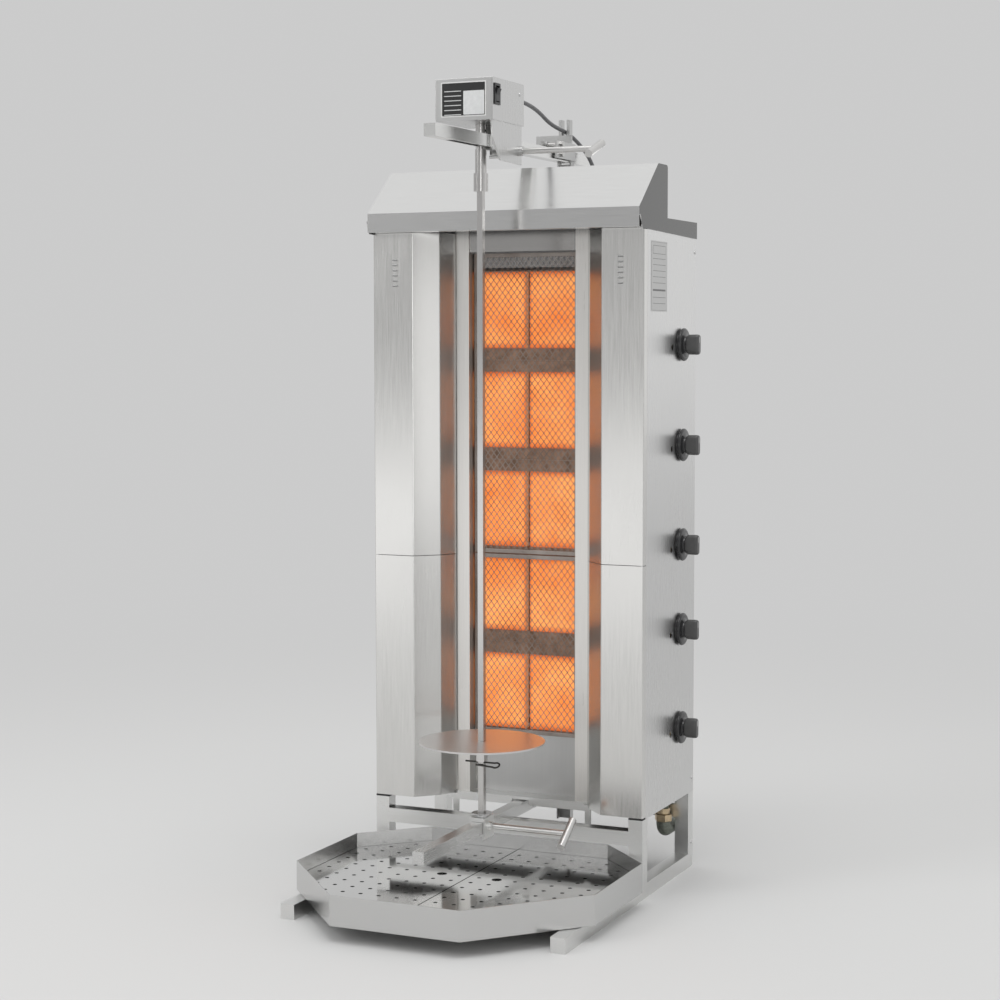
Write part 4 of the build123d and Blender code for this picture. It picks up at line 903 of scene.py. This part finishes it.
# ---- turned pieces --------------------------------------------------------------------------------
def lathe(bm, profile, segments=48):
    """Turns (radius, height) points about the local Z axis, closed at both ends on the axis."""
    rings = []
    for radius, height in profile:
        if radius == 0:
            rings.append([bm.verts.new((0, 0, height))])
            continue
        ring = []
        for step in range(segments):
            angle = math.tau * step / segments
            ring.append(bm.verts.new((radius * math.cos(angle), radius * math.sin(angle), height)))
        rings.append(ring)
    for lower, upper in zip(rings, rings[1:]):
        for step in range(segments):
            after = (step + 1) % segments
            corners = [lower[step % len(lower)], lower[after % len(lower)]]
            corners += [upper[after % len(upper)], upper[step % len(upper)]]
            unique = list(dict.fromkeys(corners))
            if len(unique) > 2:
                bm.faces.new(unique)


def turned(name, material, place, profile, segments=48):
    bm = bmesh.new()
    lathe(bm, profile, segments)
    bm.transform(place)
    return smooth_by_angle(link(name, mesh_of(bm, name), material))


# ---- knobs ----------------------------------------------------------------------------------------
TOWARDS_RIGHT = Matrix(((0, 0, 1), (0, 1, 0), (-1, 0, 0))).to_4x4()


def burner_knob(number):
    node = f"burner_knob_{number}"
    skirt_gap = 0.0004
    hub_rise = 0.0090
    mark_sunk = 0.0002
    mark_up = 0.0085
    low, high = span(node)
    middle = centre(node)
    skirt_x = span("knob_bezels")[1].x + skirt_gap
    axis = Vector((skirt_x, middle.y, middle.z))
    reach = high.x - skirt_x
    place = Matrix.Translation(axis) @ TOWARDS_RIGHT
    skirt = turned(
        f"knob_{number}_skirt",
        KNOB_RING,
        place,
        (
            (0, 0),
            (0.0272, 0),
            (0.0281, 0.0007),
            (0.0285, 0.0022),
            (0.0281, 0.0037),
            (0.0270, 0.0048),
            (0.0252, 0.0054),
            (0.0230, 0.0056),
            (0.0160, 0.0058),
            (0.0148, 0.0066),
            (0.0142, 0.0090),
            (0, 0.0094),
        ),
    )
    sections = (
        (hub_rise, 0.0150, 0.0086, 0.0084),
        (hub_rise + 0.003, 0.0172, 0.0082, 0.0080),
        (reach - 0.005, 0.0175, 0.0072, 0.0070),
        (reach - 0.0015, 0.0170, 0.0066, 0.0064),
        (reach, 0.0156, 0.0052, 0.0050),
    )
    bm = bmesh.new()
    rings = []
    for height, half_length, half_width, corner in sections:
        outline = rounded_rectangle(2 * half_length, 2 * half_width, corner, steps=7)
        rings.append([bm.verts.new((x, y, height)) for x, y in outline])
    closed_tube(bm, rings)
    bm.transform(place)
    grip = smooth_by_angle(link(f"knob_{number}_grip", mesh_of(bm, f"knob_{number}_grip"), KNOB))
    mark_place = Matrix.Translation((high.x - mark_sunk, middle.y, middle.z + mark_up)) @ FACING_RIGHT
    mark = slab(f"knob_{number}_mark", MARK, mark_place, rounded_rectangle(0.0016, 0.010, 0.0006), 0.0003)
    stem_length = skirt_x - low.x
    stem = turned(
        f"knob_{number}_stem",
        ROD,
        Matrix.Translation((low.x, middle.y, middle.z)) @ TOWARDS_RIGHT,
        ((0, 0), (0.0036, 0), (0.0040, 0.0006), (0.0040, stem_length - 0.0005), (0, stem_length)),
        24,
    )
    for piece in (skirt, grip, mark, stem):
        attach(piece, f"knob_{number}")
    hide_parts(node)


for number in BURNERS:
    burner_knob(number)


# ---- gas inlet ------------------------------------------------------------------------------------
def gas_thread():
    """Rounded pipe thread over the elbow's plain male end."""
    axis_x = centre("gas_inlet_union").x
    axis_z = 0.070
    end_y = span("gas_elbow")[1].y
    turns = 8
    pitch = 0.0018
    bore = 0.0074
    root = 0.0102
    crest = 0.0107
    profile = [(bore, 0.0), (root, 0.0)]
    for turn in range(turns):
        start = pitch * turn
        profile.append((root, start + 0.1 * pitch))
        profile.append((crest, start + 0.4 * pitch))
        profile.append((crest, start + 0.6 * pitch))
        profile.append((root, start + 0.9 * pitch))
    profile.append((bore, pitch * turns))
    place = Matrix.Translation((axis_x, end_y - pitch * turns, axis_z)) @ Matrix.Rotation(-math.pi / 2, 4, "X")
    bm = bmesh.new()
    lathe(bm, profile + [profile[0]], 48)
    bm.transform(place)
    thread = smooth_by_angle(link("gas_thread", mesh_of(bm, "gas_thread"), CAST), 20)
    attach(thread, "frame")


def union_nut():
    """Six-sided nut under a plain collar, in (radius, height) points."""
    low, high = span("gas_inlet_union")
    middle = (low + high) / 2
    across = (high.y - low.y) / 2
    corner = across / math.cos(math.pi / 6)
    tall = high.z - low.z
    nut_top = 0.0145
    nut = (
        (across * 0.93, 0.0),
        (corner * 0.97, 0.0012),
        (corner, 0.0022),
        (corner, 0.013),
        (across * 0.95, nut_top),
    )
    collar = (
        (across * 0.82, nut_top),
        (across * 0.82, 0.0185),
        (across * 0.9, 0.019),
        (across * 0.9, tall),
    )
    bm = bmesh.new()
    for profile, segments in ((nut, 6), (collar, 40)):
        lathe(bm, ((0, profile[0][1]),) + profile + ((0, profile[-1][1]),), segments)
    bm.transform(Matrix.Translation((middle.x, middle.y, low.z)))
    union = smooth_by_angle(link("gas_union_nut", mesh_of(bm, "gas_union_nut"), BRASS), 25)
    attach(union, "frame")
    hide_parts("gas_inlet_union")


gas_thread()
union_nut()


# ---- small fasteners ------------------------------------------------------------------------------
def dome_head(name, body, place, radius, height):
    steps = 6
    profile = [(0, 0), (radius, 0)]
    for step in range(1, steps):
        angle = math.radians(90 * step / steps)
        profile.append((radius * math.cos(angle), height * math.sin(angle)))
    profile.append((0, height))
    piece = turned(name, ROD, place, profile, 24)
    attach(piece, body)
    return piece


def fasteners():
    rivet_radius, rivet_height = 0.0034, 0.0016
    screw_radius, screw_height = 0.0035, 0.0018
    cabinet_half = 0.250
    screws = (("low", 0.289, 0.044), ("panel_low", 0.290, 0.160), ("panel_high", 0.290, 1.090))
    low, high = span("housing_rivets")
    middle = (low + high) / 2
    towards_left = TOWARDS_RIGHT @ Matrix.Rotation(math.pi, 4, "Y")
    right = Matrix.Translation((high.x - rivet_height, middle.y, middle.z)) @ TOWARDS_RIGHT
    left = Matrix.Translation((low.x + rivet_height, middle.y, middle.z)) @ towards_left
    head = dome_head("head_rivet_right", "motor_head", right, rivet_radius, rivet_height)
    dome_head("head_rivet_left", "motor_head", left, rivet_radius, rivet_height)
    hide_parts("housing_rivets")
    for side, hand, turn in ((-1, "left", towards_left), (1, "right", TOWARDS_RIGHT)):
        for name, y, z in screws:
            spot = Matrix.Translation((side * cabinet_half, y, z)) @ turn
            dome_head(f"screw_{name}_{hand}", "frame", spot, screw_radius, screw_height)


fasteners()


# ---- floor and light ------------------------------------------------------------------------------
BACKDROP = (0.60, 0.60, 0.60, 1)


def floor():
    """Pale floor that keeps the shadow near the object and fades into the backdrop far away."""
    reach = 14.0
    fade_start, fade_end = 0.6, 4.2
    finish = Finish("studio_floor")
    finish.set(Base_Color=(0.60, 0.60, 0.596), Roughness=0.9)
    away = finish.node("ShaderNodeVectorMath", operation="LENGTH")
    finish.wire(finish.coords.outputs["Object"], away.inputs[0])
    fade = finish.node("ShaderNodeMapRange", interpolation_type="SMOOTHSTEP")
    fade.inputs["From Min"].default_value = fade_start
    fade.inputs["From Max"].default_value = fade_end
    finish.wire(away.outputs["Value"], fade.inputs["Value"])
    glow = finish.node("ShaderNodeEmission")
    glow.inputs["Color"].default_value = BACKDROP
    mix = finish.node("ShaderNodeMixShader")
    finish.wire(fade.outputs["Result"], mix.inputs[0])
    finish.wire(finish.shader.outputs[0], mix.inputs[1])
    finish.wire(glow.outputs[0], mix.inputs[2])
    finish.wire(mix.outputs[0], finish.tree.nodes["Material Output"].inputs["Surface"])
    bm = bmesh.new()
    corners = ((-reach, -reach), (reach, -reach), (reach, reach), (-reach, reach))
    bm.faces.new([bm.verts.new((x, y, 0)) for x, y in corners])
    plane = link("studio_floor", raw_mesh(bm, "studio_floor"), finish.material)


def studio_world():
    """Grey backdrop, brighter on the right, dimmer in front, under a bright ceiling."""
    world = bpy.data.worlds.new("studio")
    bpy.context.scene.world = world
    world.use_nodes = True
    tree = world.node_tree
    background = tree.nodes["Background"]
    coords = tree.nodes.new("ShaderNodeTexCoord")
    split = tree.nodes.new("ShaderNodeSeparateXYZ")
    tree.links.new(coords.outputs["Generated"], split.inputs["Vector"])
    colour = None
    walls_and_ceiling = (("X", -0.12, 0.30, 0.86), ("Y", 0.10, -0.30, 0.50), ("Z", 0.30, 0.75, 0.98))
    for axis, start, end, level in walls_and_ceiling:
        share = tree.nodes.new("ShaderNodeMapRange")
        share.interpolation_type = "SMOOTHSTEP"
        share.inputs["From Min"].default_value = start
        share.inputs["From Max"].default_value = end
        tree.links.new(split.outputs[axis], share.inputs["Value"])
        mix = tree.nodes.new("ShaderNodeMix")
        mix.data_type = "RGBA"
        mix.inputs[MIX_A].default_value = BACKDROP
        mix.inputs[MIX_B].default_value = (level, level, level, 1)
        tree.links.new(share.outputs["Result"], mix.inputs["Factor"])
        if colour is not None:
            tree.links.new(colour, mix.inputs[MIX_A])
        colour = mix.outputs[MIX_OUT]
    tree.links.new(colour, background.inputs["Color"])
    background.inputs["Strength"].default_value = 1.0


def softbox(name, place, aim, width, height, power):
    """Rectangular area light, in metres and watts, turned towards a point."""
    data = bpy.data.lights.new(name, "AREA")
    data.shape = "RECTANGLE"
    data.size = width
    data.size_y = height
    data.energy = power
    lamp = bpy.data.objects.new(name, data)
    lamp.location = place
    lamp.rotation_euler = (Vector(aim) - Vector(place)).to_track_quat("-Z", "Y").to_euler()
    bpy.context.scene.collection.objects.link(lamp)


floor()
studio_world()
softbox("key_softbox", (-2.6, -2.8, 2.9), (0, 0, 0.7), 1.6, 2.2, 32)
softbox("edge_strip", (1.75, -3.85, 0.9), (0, 0, 0.7), 0.45, 2.6, 11)
softbox("side_card", (3.0, -1.35, 0.76), (0, 0.05, 0.80), 1.5, 1.0, 2.9)
softbox("front_card", (-1.35, -3.0, 0.33), (0, 0, 0.33), 2.8, 0.66, 3.8)
softbox("top_softbox", (0.4, -0.6, 3.6), (0, 0, 0), 2.0, 2.0, 30)

bpy.context.scene.view_settings.view_transform = "Standard"
